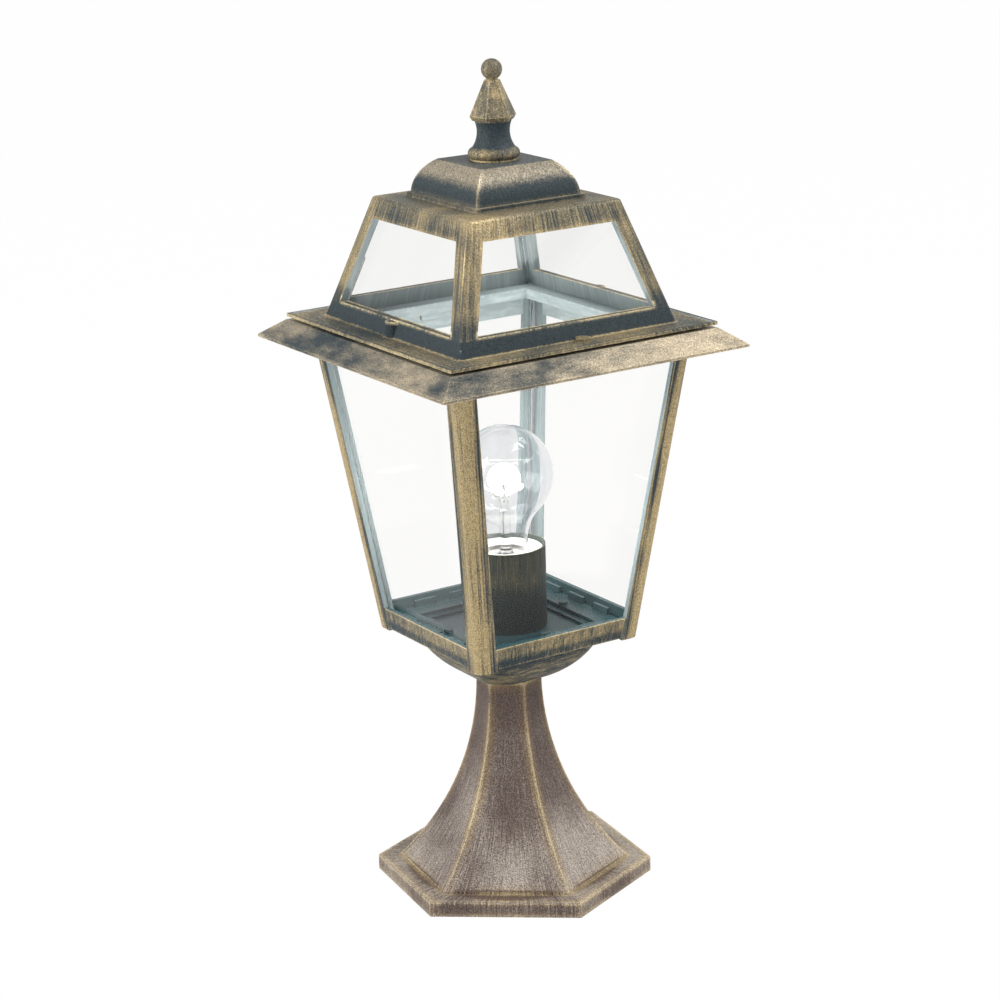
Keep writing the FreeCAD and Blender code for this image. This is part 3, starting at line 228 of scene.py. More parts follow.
class NodeTree:
    """Builds the nodes of a material or a world a call at a time."""

    def __init__(self, owner, output):
        self.owner = owner
        owner.use_nodes = True
        self.tree = owner.node_tree
        self.tree.nodes.clear()
        self.output = self.add(output)

    @functools.cached_property
    def object_place(self):
        """Object coordinates."""
        return self.add("TexCoord").outputs["Object"]

    @functools.cached_property
    def normal(self):
        """The surface's own normal."""
        return self.add("NewGeometry").outputs["Normal"]

    def add(self, kind, **settings):
        """A new node with its settings."""
        node = self.tree.nodes.new("ShaderNode" + kind)
        for name, value in settings.items():
            setattr(node, name, value)
        return node

    def feed(self, socket, value):
        """Link an output to an input, or set the input's own value."""
        if isinstance(value, bpy.types.NodeSocket):
            self.tree.links.new(value, socket)
        elif hasattr(value, "__len__") and socket.type == "RGBA" and len(value) == 3:
            socket.default_value = (*value, 1.0)
        else:
            socket.default_value = value

    def math(self, operation, first, second=0.0, clamp=False):
        """A sum, product or other figure of two values."""
        node = self.add("Math", operation=operation, use_clamp=clamp)
        self.feed(node.inputs[0], first)
        self.feed(node.inputs[1], second)
        return node.outputs[0]

    def vector(self, operation, first, second=(0.0, 0.0, 0.0)):
        """A figure of two vectors."""
        node = self.add("VectorMath", operation=operation)
        self.feed(node.inputs[0], first)
        self.feed(node.inputs[1], second)
        return node.outputs["Value" if operation == "DOT_PRODUCT" else "Vector"]

    def parts(self, vector):
        """The X, Y and Z of a vector."""
        node = self.add("SeparateXYZ")
        self.feed(node.inputs[0], vector)
        return [node.outputs[axis] for axis in "XYZ"]

    def joined(self, **axes):
        """A vector from its X, Y and Z."""
        node = self.add("CombineXYZ")
        for axis, value in axes.items():
            self.feed(node.inputs[axis], value)
        return node.outputs[0]

    def scaled(self, value, middle, amount):
        """How far a value is from its middle, times an amount."""
        return self.math("MULTIPLY", self.math("SUBTRACT", value, middle), amount)

    def rolled_out(self, radius):
        """Object coordinates unrolled about the axis: the way round at a radius, and the height."""
        x, y, z = self.parts(self.object_place)
        return self.joined(X=self.math("MULTIPLY", self.math("ARCTAN2", y, x), radius), Z=z)

    def tapered(self, taper):
        """Object coordinates drawn in or out, so that walls which lean run upright."""
        x, y, z = self.parts(self.object_place)
        half = self.math("ADD", taper.half, self.scaled(z, taper.level, taper.lean))
        shrink = self.math("DIVIDE", taper.half, half)
        return self.joined(X=self.math("MULTIPLY", x, shrink),
                           Y=self.math("MULTIPLY", y, shrink), Z=z)

    def stretched(self, vector, scale, turn=(0.0, 0.0, 0.0)):
        """Coordinates turned by some degrees and stretched."""
        node = self.add("Mapping", vector_type="POINT")
        self.feed(node.inputs["Vector"], vector)
        node.inputs["Rotation"].default_value = [math.radians(degrees) for degrees in turn]
        node.inputs["Scale"].default_value = scale
        return node.outputs["Vector"]

    def noise(self, vector, scale, detail=3.0, roughness=0.55, distortion=0.0):
        """Soft noise."""
        node = self.add("TexNoise")
        self.feed(node.inputs["Vector"], vector)
        for name, value in (("Scale", scale), ("Detail", detail), ("Roughness", roughness),
                            ("Distortion", distortion)):
            node.inputs[name].default_value = value
        return node.outputs["Fac"]

    def between(self, value, low, high, from_end=0.0, to_end=1.0):
        """Smooth step of a value between two limits."""
        node = self.add("MapRange", interpolation_type="SMOOTHSTEP")
        self.feed(node.inputs["Value"], value)
        for name, limit in (("From Min", low), ("From Max", high), ("To Min", from_end),
                            ("To Max", to_end)):
            node.inputs[name].default_value = limit
        return node.outputs["Result"]

    def bands(self, z, bands):
        """Sum of some bands of level."""
        total = 0.0
        for band in bands:
            above = self.between(z, band.low - band.fade, band.low)
            below = self.between(z, band.high + band.fade, band.high)
            within = self.math("MULTIPLY", above, below)
            total = self.math("ADD", total, self.math("MULTIPLY", within, band.strength))
        return total

    def mix(self, fraction, first, second, blend="MIX"):
        """Mix of two colours."""
        node = self.add("Mix", data_type="RGBA", blend_type=blend)
        fraction_socket, first_socket, second_socket = (node.inputs[i] for i in (0, 6, 7))
        self.feed(fraction_socket, fraction)
        self.feed(first_socket, first)
        self.feed(second_socket, second)
        return node.outputs[2]

    def mixed_shader(self, fraction, first, second):
        """Mix of two shaders."""
        node = self.add("MixShader")
        for socket, value in zip(node.inputs, (fraction, first, second)):
            self.feed(socket, value)
        return node.outputs[0]

    def edges(self, width):
        """One on flat faces, and less towards the edges within a width."""
        soft = self.add("Bevel", samples=8)
        soft.inputs["Radius"].default_value = width
        return self.vector("DOT_PRODUCT", soft.outputs["Normal"], self.normal)

    def bump(self, height, strength, depth):
        """Shading normal from a height."""
        node = self.add("Bump")
        node.inputs["Strength"].default_value = strength
        node.inputs["Distance"].default_value = depth
        self.feed(node.inputs["Height"], height)
        return node.outputs["Normal"]

    def seen(self):
        """One for what the eye sees, in mirrors and through glass too, and none for other light."""
        path = self.add("LightPath").outputs
        seen = self.math("MAXIMUM", path["Is Camera Ray"], path["Is Transmission Ray"])
        return self.math("MAXIMUM", seen, path["Is Glossy Ray"])

    def shader(self, **inputs):
        """Principled shader with its sockets by name; an underscore stands for a space."""
        node = self.add("BsdfPrincipled")
        for name, value in inputs.items():
            self.feed(node.inputs[name.replace("_", " ")], value)
        return node.outputs["BSDF"]

    def show(self, shader):
        """Send a shader to the surface."""
        self.tree.links.new(shader, self.output.inputs["Surface"])
        return self.owner


class MaterialNodes(NodeTree):
    """The nodes of a new material."""

    def __init__(self, name):
        super().__init__(bpy.data.materials.new(name), "OutputMaterial")


class BrushedFinish(MaterialNodes):
    """Cast metal with a dark ground coat and gold brushed softly over it, coat by coat, with
    painted shade in some bands and corners and painted highlights along edges.

    strokes stretches the brush strokes along X, Y and Z, and turn turns them. They are laid round
    the axis at the radius roll, or along walls with a taper.
    """

    GRAIN_SCALE = 1300.0
    # How flat a face is where an effect starts beside an edge, and where it is full.
    WORN_EDGE = (0.998, 0.82)
    STAINED_EDGE = (0.995, 0.90)
    # Ends of the patterns, from none to all.
    COVERED = (0.02, 0.98)
    CAUGHT = (0.72, 1.08)
    GRAINED = (0.35, 0.65)
    STREAKED = (0.40, 0.75)
    # Width of the stain as a share of the edges' width, and its strength.
    STAIN_REACH = 1.5
    STAIN_STRENGTH = 0.85
    # Distance from the corner line where a post's wing starts, and where it is full.
    WING = (0.006, 0.0105)
    # Fade, height and strength of the ring of painted shade in a corner.
    RING_FADE = 0.008
    RING_HEIGHT = 0.002
    RING_STRENGTH = 0.8
    # How far a face looks outward where the lining ends, and where the paint is full.
    OUTWARD = (0.02, 0.16)
    UPWARD_SHARE = 0.6
    LINING_FADE = 0.001
    LINING_WEAR = 1.4
    # What the gold adds to the metal and takes from the roughness.
    GOLD_METAL = 0.45
    GOLD_GLOSS = 0.16
    STROKE_RELIEF = 0.4
    GRAIN_RELIEF = 0.6
    RELIEF_DEPTH = 0.0003

    def __init__(self, name, strokes, turn=(0.0, 0.0, 0.0), roll=0.0, taper=None,
                 patch_scale=22.0, edge_width=0.004):
        super().__init__(name)
        laid = self.object_place
        if roll:
            laid = self.rolled_out(roll)
        if taper:
            laid = self.tapered(taper)
        self.drawn = self.noise(self.stretched(laid, strokes, turn), 1.0, detail=4.0, roughness=0.6)
        self.patch = self.noise(self.object_place, patch_scale, detail=2.0, roughness=0.5,
                                distortion=0.4)
        self.grain = self.noise(self.object_place, self.GRAIN_SCALE, roughness=0.75)
        self.x, self.y, self.z = self.parts(self.object_place)
        self.far_x, self.far_y = self.math("ABSOLUTE", self.x), self.math("ABSOLUTE", self.y)
        self.edge_width = edge_width
        self.settings = finish_settings()
        self.lining = None

    @functools.cached_property
    def edge(self):
        """One on flat faces, and less beside edges."""
        return self.edges(self.edge_width)

    @functools.cached_property
    def half_width(self):
        """How far out a point is, on the square plan."""
        return self.math("MAXIMUM", self.far_x, self.far_y)

    def brush(self, amount, streak=0.8, patches=0.7, speckle=0.25, wear=0.5):
        """Brush gold on: how much, how strokes, patches and grain vary it, and more on edges."""
        cover = amount
        for pattern, contrast in ((self.drawn, streak), (self.patch, patches),
                                  (self.grain, speckle)):
            cover = self.math("ADD", cover, self.scaled(pattern, 0.5, contrast))
        if wear:
            beside = self.between(self.edge, *self.WORN_EDGE)
            cover = self.math("ADD", cover, self.math("MULTIPLY", beside, wear))
        self.cover = cover

    def leave_dark(self, bands):
        """Leave the gold off some bands of level; where a caller says so, the band is painted
        shade.
        """
        self.cover = self.math("SUBTRACT", self.cover, self.bands(self.z, bands))

    def leave_wings(self, strength):
        """Leave gold off what lies away from the corner lines."""
        aside = self.math("ABSOLUTE", self.math("SUBTRACT", self.far_x, self.far_y))
        wing = self.math("MULTIPLY", self.between(aside, *self.WING), strength)
        self.cover = self.math("SUBTRACT", self.cover, wing)

    def leave_ring(self, level, radius):
        """Darken a corner at a level and radius: painted shade there, over ground coat that the
        brush can't reach.
        """
        squares = [self.math("MULTIPLY", way, way) for way in (self.x, self.y)]
        reach = self.math("SQRT", self.math("ADD", *squares))
        ring = self.math("MULTIPLY", self.between(reach, radius + self.RING_FADE, radius),
                         self.between(self.z, level + self.RING_HEIGHT, level))
        self.cover = self.math("SUBTRACT", self.cover,
                               self.math("MULTIPLY", ring, self.RING_STRENGTH))

    def coat(self, ground, gold):
        """Turn the brushed cover into a tone between the ground coat and the gold."""
        self.cover = self.between(self.cover, *self.COVERED)
        self.tone = self.mix(self.cover, ground, gold)

    def brush_and_highlight_mask(self, bands):
        """Where the brush catches on edges, in some bands of level; the same mask places the
        painted highlights along edges.
        """
        brushed = self.between(self.math("ADD", self.patch, self.drawn), *self.CAUGHT)
        return self.math("MULTIPLY", brushed, self.bands(self.z, bands))

    def stain_ridges(self, stain, bands):
        """Stain the metal beside ridges."""
        near = self.between(self.edges(self.edge_width * self.STAIN_REACH), *self.STAINED_EDGE)
        near = self.math("MULTIPLY", near, self.brush_and_highlight_mask(bands))
        self.tone = self.mix(self.math("MULTIPLY", near, self.STAIN_STRENGTH), self.tone, stain)

    def brighten_edges(self, bands, start=0.90, end=0.76):
        """Pale gold along edges, partly bare worn gold and partly a painted highlight, from where
        their sharpness starts to where it is full.
        """
        bare = self.math("MULTIPLY", self.between(self.edge, start, end), self.brush_and_highlight_mask(bands))
        self.tone = self.mix(bare, self.tone, self.settings.edge_gold_and_highlight)

    def line_inside(self, inner, up_is_outer=True, outer_half=0.0, ledge=None):
        """Give another colour to what looks inward.

        What lies within outer_half of the axis has it too, and so has what lies below and within a
        ledge's (level, half width).
        """
        radial = self.vector("MULTIPLY", self.object_place, (1.0, 1.0, 0.0))
        facing = self.vector("DOT_PRODUCT", self.normal, self.vector("NORMALIZE", radial))
        if up_is_outer:
            upward = self.math("MULTIPLY", self.parts(self.normal)[2], self.UPWARD_SHARE)
            facing = self.math("ADD", facing, upward)
        outer = self.between(facing, *self.OUTWARD)
        if outer_half:
            beyond = self.between(self.half_width, outer_half - self.LINING_FADE, outer_half)
            outer = self.math("MULTIPLY", outer, beyond)
        if ledge:
            level, half = ledge
            within = self.between(self.half_width, half, half - self.LINING_FADE)
            below = self.between(self.z, level + self.LINING_FADE, level)
            outer = self.math("SUBTRACT", outer, self.math("MULTIPLY", within, below), clamp=True)
        paler = [min(1.0, self.LINING_WEAR * c) for c in inner]
        self.lining = outer, self.mix(self.between(self.drawn, *self.STREAKED), inner, paler)

    def finish(self, rough=0.58, specular=0.2, relief=0.15):
        """The finished material."""
        contrast = self.settings.grain
        grain = self.between(self.grain, *self.GRAINED, 1.0 - contrast, 1.0 + contrast)
        tone = self.mix(1.0, self.tone, grain, "MULTIPLY")
        metal = self.math("MULTIPLY", self.cover, self.GOLD_METAL)
        if self.lining:
            outer, lining_tone = self.lining
            tone = self.mix(outer, lining_tone, tone)
            metal = self.math("MULTIPLY", metal, outer)
        dull = self.math("SUBTRACT", rough, self.math("MULTIPLY", self.cover, self.GOLD_GLOSS))
        height = self.math("ADD", self.math("MULTIPLY", self.drawn, self.STROKE_RELIEF),
                           self.math("MULTIPLY", self.grain, self.GRAIN_RELIEF))
        return self.show(self.shader(Base_Color=tone, Metallic=metal, Roughness=dull,
                                     Specular_IOR_Level=specular,
                                     Normal=self.bump(height, relief, self.RELIEF_DEPTH)))


def finish_settings():
    """The finish settings of the scene."""
    return bpy.context.scene.lantern_finish


def darker(tone, part):
    """A part of a colour's brightness."""
    return [part * c for c in tone]


def dress(nodes, material):
    """Give a material to some of the lantern's pieces."""
    for name in nodes:
        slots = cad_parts[name].data.materials
        slots.clear()
        slots.append(material)


def clear_glass(name, tint, ripple, roughness=0.0, bend=1.46):
    """Clear glass that lets lamps through to what it covers.

    ripple is how uneven the glass is, and bend is how strongly it turns and mirrors light.
    """
    t = MaterialNodes(name)
    wave = t.noise(t.object_place, GLASS_WAVE_SCALE, detail=2.0, roughness=0.5)
    glass = t.shader(Base_Color=tint, Roughness=roughness, IOR=bend, Transmission_Weight=1.0,
                     Normal=t.bump(wave, ripple, GLASS_WAVE_DEPTH))
    path = t.add("LightPath").outputs
    through = t.math("MAXIMUM", path["Is Shadow Ray"], path["Is Diffuse Ray"])
    mirrored = t.math("SUBTRACT", path["Is Glossy Ray"], path["Is Transmission Ray"])
    through = t.math("MAXIMUM", through, mirrored)
    clear = t.add("BsdfTransparent")
    t.feed(clear.inputs["Color"], tint)
    return t.show(t.mixed_shader(through, glass, clear.outputs[0]))


def plated_metal(name, tone, roughness, grain):
    """Bright metal with fine drawn grain, stretched along X, Y and Z, and a little tarnish."""
    t = MaterialNodes(name)
    drawn = t.noise(t.stretched(t.object_place, grain), 1.0, roughness=0.6)
    tarnish = t.between(t.noise(t.object_place, TARNISH_SCALE, roughness=0.6), 0.45, 0.75)
    shade = t.mix(t.math("MULTIPLY", tarnish, 0.5), tone, darker(tone, TARNISH_DARK))
    rough = t.math("ADD", roughness, t.math("MULTIPLY", drawn, 0.18))
    return t.show(t.shader(Base_Color=shade, Metallic=1.0, Roughness=rough,
                           Normal=t.bump(drawn, 0.15, 0.0002)))


def mottled(name, tones, scale, rough, spread, softness=0.6, relief=0.1, depth=0.0002, **sockets):
    """Moulded or glazed stuff in two near tones, its roughness spread between them."""
    t = MaterialNodes(name)
    mottle = t.noise(t.object_place, scale, roughness=softness)
    dull = t.math("ADD", rough, t.math("MULTIPLY", mottle, spread))
    return t.show(t.shader(Base_Color=t.mix(mottle, *tones), Roughness=dull,
                           Normal=t.bump(mottle, relief, depth), **sockets))


class LANTERN_OT_pedestal(bpy.types.Operator):
    """Paint the flared pedestal: worn taupe with dry cream strokes and gold ridges"""

    bl_idname = "lantern.pedestal"
    bl_label = "Pedestal"

    def execute(self, context):
        s = finish_settings()
        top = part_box("pedestal")[1].z
        # Painted shade: the pedestal darkens towards its top, under the bowl.
        neck_shade = Band(top - 0.030, top, fade=0.090, strength=0.50)
        plate_side = Band(-0.001, 0.0085, fade=0.0005, strength=0.25)
        ridges = [Band(0.020, 0.050, fade=0.040, strength=0.40),
                  Band(0.020, top, fade=0.008, strength=0.55),
                  Band(0.0088, PLATE_TOP, fade=0.0006, strength=0.3)]
        paint = BrushedFinish("worn_pedestal_paint", strokes=(1900, 1, 40), roll=COLUMN_RADIUS,
                              patch_scale=24.0, edge_width=0.007)
        paint.brush(amount=0.55, streak=1.4, patches=1.2, speckle=0.7, wear=0.2)
        paint.leave_dark([neck_shade, plate_side])
        # Painted shade in the corner at the flare's foot, over ground coat that the brush misses.
        paint.leave_ring(PLATE_TOP, FLARE_FOOT_RADIUS)
        paint.coat(s.taupe, s.cream)
        paint.stain_ridges(s.ridge_gold, ridges)
        # Pale ridge lines: worn gold, partly a painted highlight.
        paint.brighten_edges(ridges, start=0.945, end=0.875)
        paint.line_inside(s.inner_slate)
        dress(["pedestal"], paint.finish())
        return {"FINISHED"}


class LANTERN_OT_bowl(bpy.types.Operator):
    """Paint the bowl under the tray: slate with gold along its lower curve"""

    bl_idname = "lantern.bowl"
    bl_label = "Bowl"

    def execute(self, context):
        s = finish_settings()
        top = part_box("bowl")[1].z
        paint = BrushedFinish("bowl_paint", strokes=(110, 110, 640), turn=(22, 18, 0))
        paint.brush(amount=0.33, streak=1.5, patches=0.6, wear=0.0)
        paint.leave_dark([Band(top - 0.007, top, fade=0.008, strength=0.25)])
        paint.coat(s.slate, s.gold)
        paint.line_inside(s.inner_slate, up_is_outer=False)
        dress(["bowl"], paint.finish())
        return {"FINISHED"}


class LANTERN_OT_tray(bpy.types.Operator):
    """Paint the tray: gold rails outside, dark teal inside"""

    bl_idname = "lantern.tray"
    bl_label = "Tray"

    def execute(self, context):
        s = finish_settings()
        low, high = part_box("tray")
        rim = low.z + RAIL_HEIGHT
        paint = BrushedFinish("tray_paint", strokes=(900, 900, 110), taper=BODY_TAPER,
                              edge_width=0.003)
        paint.brush(amount=0.42, streak=1.6, patches=1.0, wear=0.3)
        paint.leave_dark([Band(low.z, low.z + 0.003, fade=0.004, strength=0.35)])
        paint.coat(s.slate, s.gold)
        # Pale line along the rail's top edge: worn gold with a painted highlight on it; weaker
        # lines down the rail.
        paint.brighten_edges([Band(rim - 0.0016, rim + 0.001, fade=0.0006, strength=0.9),
                              Band(low.z, rim, fade=0.001, strength=0.2)])
        paint.line_inside(s.tray_teal, up_is_outer=False, outer_half=high.x - RAIL_DEPTH)
        dress(["tray"], paint.finish(rough=0.34, specular=0.15))
        return {"FINISHED"}


class LANTERN_OT_posts(bpy.types.Operator):
    """Paint the corner posts: gold drawn along their length over slate"""

    bl_idname = "lantern.posts"
    bl_label = "Corner posts"

    def execute(self, context):
        s = finish_settings()
        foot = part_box("post_front_left")[0].z
        paint = BrushedFinish("post_paint", strokes=(900, 900, 10), taper=BODY_TAPER,
                              edge_width=0.003)
        paint.brush(amount=0.92, streak=2.5, patches=1.1, wear=0.0)
        paint.leave_dark([Band(foot, foot + 0.010, fade=0.020, strength=0.12)])
        paint.leave_wings(0.6)
        paint.coat(s.slate, s.gold)
        paint.brighten_edges(everywhere(0.25))
        paint.line_inside(s.inner_slate)
        dress(["post_" + corner for corner in CORNERS], paint.finish())
        return {"FINISHED"}


class LANTERN_OT_eave(bpy.types.Operator):
    """Paint the eave: gold skirt with slanting dark patches, slate inside"""

    bl_idname = "lantern.eave"
    bl_label = "Eave"

    def execute(self, context):
        s = finish_settings()
        paint = BrushedFinish("eave_paint", strokes=(70, 70, 260), turn=(38, 38, 0),
                              patch_scale=15.0, edge_width=0.003)
        paint.brush(amount=0.50, streak=1.0, patches=2.0, wear=0.3)
        paint.coat(s.slate, s.champagne)
        paint.brighten_edges(everywhere(0.3))
        # The eave's inside takes the paler lining, which paints in the lamp's light.
        paint.line_inside(s.lit_roof_lining)
        dress(["eave"], paint.finish())
        return {"FINISHED"}


class LANTERN_OT_roof(bpy.types.Operator):
    """Paint the roof casting and its cap: gold stiles and rims, dark lower rails"""

    bl_idname = "lantern.roof"
    bl_label = "Roof and cap"

    def execute(self, context):
        s = finish_settings()
        self.paint_frame(s)
        self.paint_cap(s)
        return {"FINISHED"}

    def paint_frame(self, s):
        """Gold stiles over a dark lower rail."""
        low, high = (corner.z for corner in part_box("roof_frame"))
        paint = BrushedFinish("roof_paint", strokes=(700, 700, 26), taper=ROOF_TAPER,
                              edge_width=0.005)
        paint.brush(amount=0.39, streak=1.4, patches=1.2, wear=0.25)
        paint.leave_dark([Band(low + 0.0026, low + 0.0098, fade=0.0012, strength=0.60),
                          Band(low + 0.0135, low + 0.0145, fade=0.011, strength=0.32),
                          Band(high - 0.012, high - 0.008, fade=0.004, strength=0.06)])
        paint.coat(s.slate, s.gold)
        # Pale lines: a painted highlight over worn gold along the sill's top edge, and weaker ones
        # at the top and on the flange's edge.
        paint.brighten_edges([Band(low + 0.0095, low + 0.0145, fade=0.001, strength=1.0),
                              Band(high - 0.004, high, fade=0.002, strength=0.3),
                              Band(low, low + 0.0016, fade=0.0005, strength=0.5)],
                             start=0.96, end=0.80)
        # The roof's inside takes the paler lining, which paints in the lamp's light.
        paint.line_inside(s.lit_roof_lining, ledge=(low + ROOF_LEDGE_HEIGHT, ROOF_LEDGE_HALF))
        dress(["roof_frame"], paint.finish())

    def paint_cap(self, s):
        """Pale gold shoulders over a dark foot, the foot darkened as painted shade."""
        low, high = (corner.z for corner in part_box("roof_cap"))
        paint = BrushedFinish("cap_paint", strokes=(700, 700, 60), edge_width=0.006)
        paint.brush(amount=0.56, streak=0.6, patches=0.4, wear=0.4)
        # The first band is painted shade on the cap's lower curve and foot; the second darkens the
        # very top.
        paint.leave_dark([Band(low, low + 0.008, fade=0.009, strength=0.62),
                          Band(high - 0.0002, high + 0.001, fade=0.0003, strength=0.35)])
        paint.coat(s.slate, s.champagne)
        paint.brighten_edges(everywhere(0.3))
        paint.line_inside(s.inner_slate)
        dress(["roof_cap"], paint.finish())


class LANTERN_OT_finial(bpy.types.Operator):
    """Paint the finial: gold over slate, darker in its waist"""

    bl_idname = "lantern.finial"
    bl_label = "Finial"

    def execute(self, context):
        s = finish_settings()
        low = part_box("finial")[0].z
        paint = BrushedFinish("finial_paint", strokes=(700, 700, 60), patch_scale=60.0,
                              edge_width=0.0025)
        paint.brush(amount=0.36, streak=0.9, patches=1.2, wear=0.35)
        paint.leave_dark([Band(low + 0.009, low + 0.021, fade=0.003, strength=0.4)])
        paint.coat(s.slate, s.gold)
        paint.brighten_edges(everywhere(0.3), start=0.96, end=0.80)
        dress(["finial"], paint.finish())
        return {"FINISHED"}


class LANTERN_OT_panes(bpy.types.Operator):
    """Glaze the body and the roof with clear panes"""

    bl_idname = "lantern.panes"
    bl_label = "Panes"

    def execute(self, context):
        s = finish_settings()
        body_glass = clear_glass("pane_glass", s.pane_tint, ripple=0.02, bend=s.pane_bend)
        dress(["pane_" + side for side in SIDES], body_glass)
        roof_glass = clear_glass("roof_pane_glass", s.roof_pane_tint, ripple=0.02,
                                 bend=s.pane_bend)
        dress(["roof_pane_" + side for side in SIDES], roof_glass)
        return {"FINISHED"}


class LANTERN_OT_lampholder(bpy.types.Operator):
    """Finish the sleeve, the porcelain holder and its contacts"""

    bl_idname = "lantern.lampholder"
    bl_label = "Lampholder"

    def execute(self, context):
        s = finish_settings()
        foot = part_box("lamp_sleeve")[0].z
        paint = BrushedFinish("sleeve_paint", strokes=(900, 1, 40), roll=SLEEVE_RADIUS,
                              patch_scale=34.0)
        paint.brush(amount=0.16, streak=0.8, patches=0.5, speckle=0.0, wear=0.0)
        paint.leave_dark([Band(foot, foot + 0.018, fade=0.018, strength=0.2)])
        paint.coat(s.sleeve_dark, s.gold)
        paint.line_inside(s.sleeve_dark)
        dress(["lamp_sleeve"], paint.finish(relief=0.04))
        glaze = mottled("glazed_porcelain", (s.porcelain, darker(s.porcelain, 0.9)), scale=90.0,
                        rough=0.14, spread=0.12, softness=0.5, relief=0.08, depth=0.0004,
                        Coat_Weight=0.5, Coat_Roughness=0.06)
        dress(["lamp_holder"], glaze)
        drawn = (90, 90, 900)
        dress(["holder_shell"], plated_metal("shell_nickel", s.nickel, 0.20, drawn))
        dress(["holder_contact"], plated_metal("contact_brass", s.brass, 0.24, drawn))
        return {"FINISHED"}


class LANTERN_OT_fixings(bpy.types.Operator):
    """Finish the screws, rods, nuts, clips and the bridge"""

    bl_idname = "lantern.fixings"
    bl_label = "Fixings"

    def execute(self, context):
        s = finish_settings()
        even = (900, 900, 900)
        paint = BrushedFinish("screw_paint", strokes=even, edge_width=0.001)
        paint.brush(amount=0.55)
        paint.coat(s.slate, s.gold)
        paint.brighten_edges(everywhere(0.5))
        dress(["roof_screws"], paint.finish())
        paint = BrushedFinish("tray_screw_paint", strokes=even, edge_width=0.0006)
        paint.brush(amount=0.25, wear=0.3)
        paint.coat(s.tray_teal, s.inner_slate)
        paint.brighten_edges(everywhere(0.5), start=0.6, end=0.5)
        dress(["bowl_screws"], paint.finish())
        dress(["mounting_bridge", "tie_tube", "tube_nuts", "tube_washer", "tie_rods", "rod_nuts",
               "finial_stud", "finial_washer", "finial_nut"],
              plated_metal("zinc_plate", s.zinc, 0.34, (900, 900, 120)))
        dress(["pane_clips"], plated_metal("clip_nickel", s.nickel, 0.12, (400, 400, 90)))
        dress(["earth_screw"], plated_metal("terminal_brass", s.brass, 0.30, even))
        return {"FINISHED"}


class LANTERN_OT_wiring(bpy.types.Operator):
    """Finish the terminal block and the two leads"""

    bl_idname = "lantern.wiring"
    bl_label = "Wiring"

    def execute(self, context):
        s = finish_settings()
        dress(["terminal_block"], mottled("block_nylon", (s.nylon, s.nylon_shade), scale=600.0,
                                          rough=0.42, spread=0.15))
        dress(["lead_wires"], mottled("lead_silicone", (s.silicone, s.silicone_dust), scale=400.0,
                                      rough=0.5, spread=0.2))
        return {"FINISHED"}


class LANTERN_OT_lamp(bpy.types.Operator):
    """Finish the lamp: clear envelope, threaded cap, stem, leads and a glowing coil"""

    bl_idname = "lantern.lamp"
    bl_label = "Lamp"

    def execute(self, context):
        lamp = context.scene.lantern_lamp
        dress(["bulb_glass"], clear_glass("envelope_glass", lamp.envelope_tint, ripple=0.05))
        dress(["bulb_stem"], clear_glass("stem_glass", lamp.stem_tint, ripple=0.3, roughness=0.06))
        dress(["bulb_cap"], self.threaded_cap(finish_settings().nickel))
        dress(["bulb_contact"], plated_metal("solder", lamp.solder, 0.32, (500, 500, 500)))
        dress(["bulb_leads"], plated_metal("lead_in_nickel", lamp.lead_in, 0.28, (900, 900, 90)))
        dress(["bulb_insulator"], mottled("insulator_glass", (lamp.insulator, lamp.insulator_swirl),
                                          scale=200.0, rough=0.1, spread=0.1, softness=0.5,
                                          relief=0.0))
        self.wind_coil(lamp)
        return {"FINISHED"}

    def threaded_cap(self, nickel):
        """Satin nickel with a rolled thread, lit from inside the lamp."""
        t = MaterialNodes("threaded_cap")
        thread = t.add("TexWave", wave_type="BANDS", bands_direction="Z", wave_profile="SIN")
        t.feed(thread.inputs["Vector"], t.object_place)
        thread.inputs["Scale"].default_value = THREAD_SCALE
        tone = t.mix(t.noise(t.object_place, 300.0), nickel, darker(nickel, 0.7))
        satin = t.math("MULTIPLY", t.noise(t.object_place, 900.0), 0.12)
        return t.show(t.shader(Base_Color=tone, Metallic=0.4, Roughness=t.math("ADD", 0.3, satin),
                               Normal=t.bump(thread.outputs["Fac"], 0.9, THREAD_DEPTH)))

    def hot_wire(self, lamp):
        """Glowing tungsten."""
        t = MaterialNodes("hot_tungsten")
        heat = t.mix(t.noise(t.object_place, 500.0), lamp.glow, lamp.warm_glow)
        return t.show(t.shader(Base_Color=lamp.tungsten, Roughness=0.5, Emission_Color=heat,
                               Emission_Strength=lamp.filament_light))

    def wind_coil(self, lamp):
        """A fine coil along the filament's ring, in place of its plain rod."""
        low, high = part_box("bulb_filament")
        thickness = high.z - low.z
        level = (low.z + high.z) / 2
        ring_radius = (high.x - low.x - thickness) / 2
        coil_radius = thickness / 2 - lamp.coil_wire
        steps = lamp.coil_turns * COIL_STEPS_PER_TURN
        curve = bpy.data.curves.new("filament_coil", "CURVE")
        curve.dimensions = "3D"
        curve.bevel_depth = lamp.coil_wire
        curve.bevel_resolution = 1
        spline = curve.splines.new("POLY")
        spline.points.add(steps)
        for i, point in enumerate(spline.points):
            turn = COIL_HALF_ANGLE * (2 * i / steps - 1)
            wind = math.tau * lamp.coil_turns * i / steps
            out = ring_radius + coil_radius * math.cos(wind)
            height = level + coil_radius * math.sin(wind)
            point.co = (out * math.sin(turn), -out * math.cos(turn), height, 1.0)
        curve.materials.append(self.hot_wire(lamp))
        coil = bpy.data.objects.new("filament_coil", curve)
        bpy.context.scene.collection.objects.link(coil)
        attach(coil, "bulb")
        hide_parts("bulb_filament")


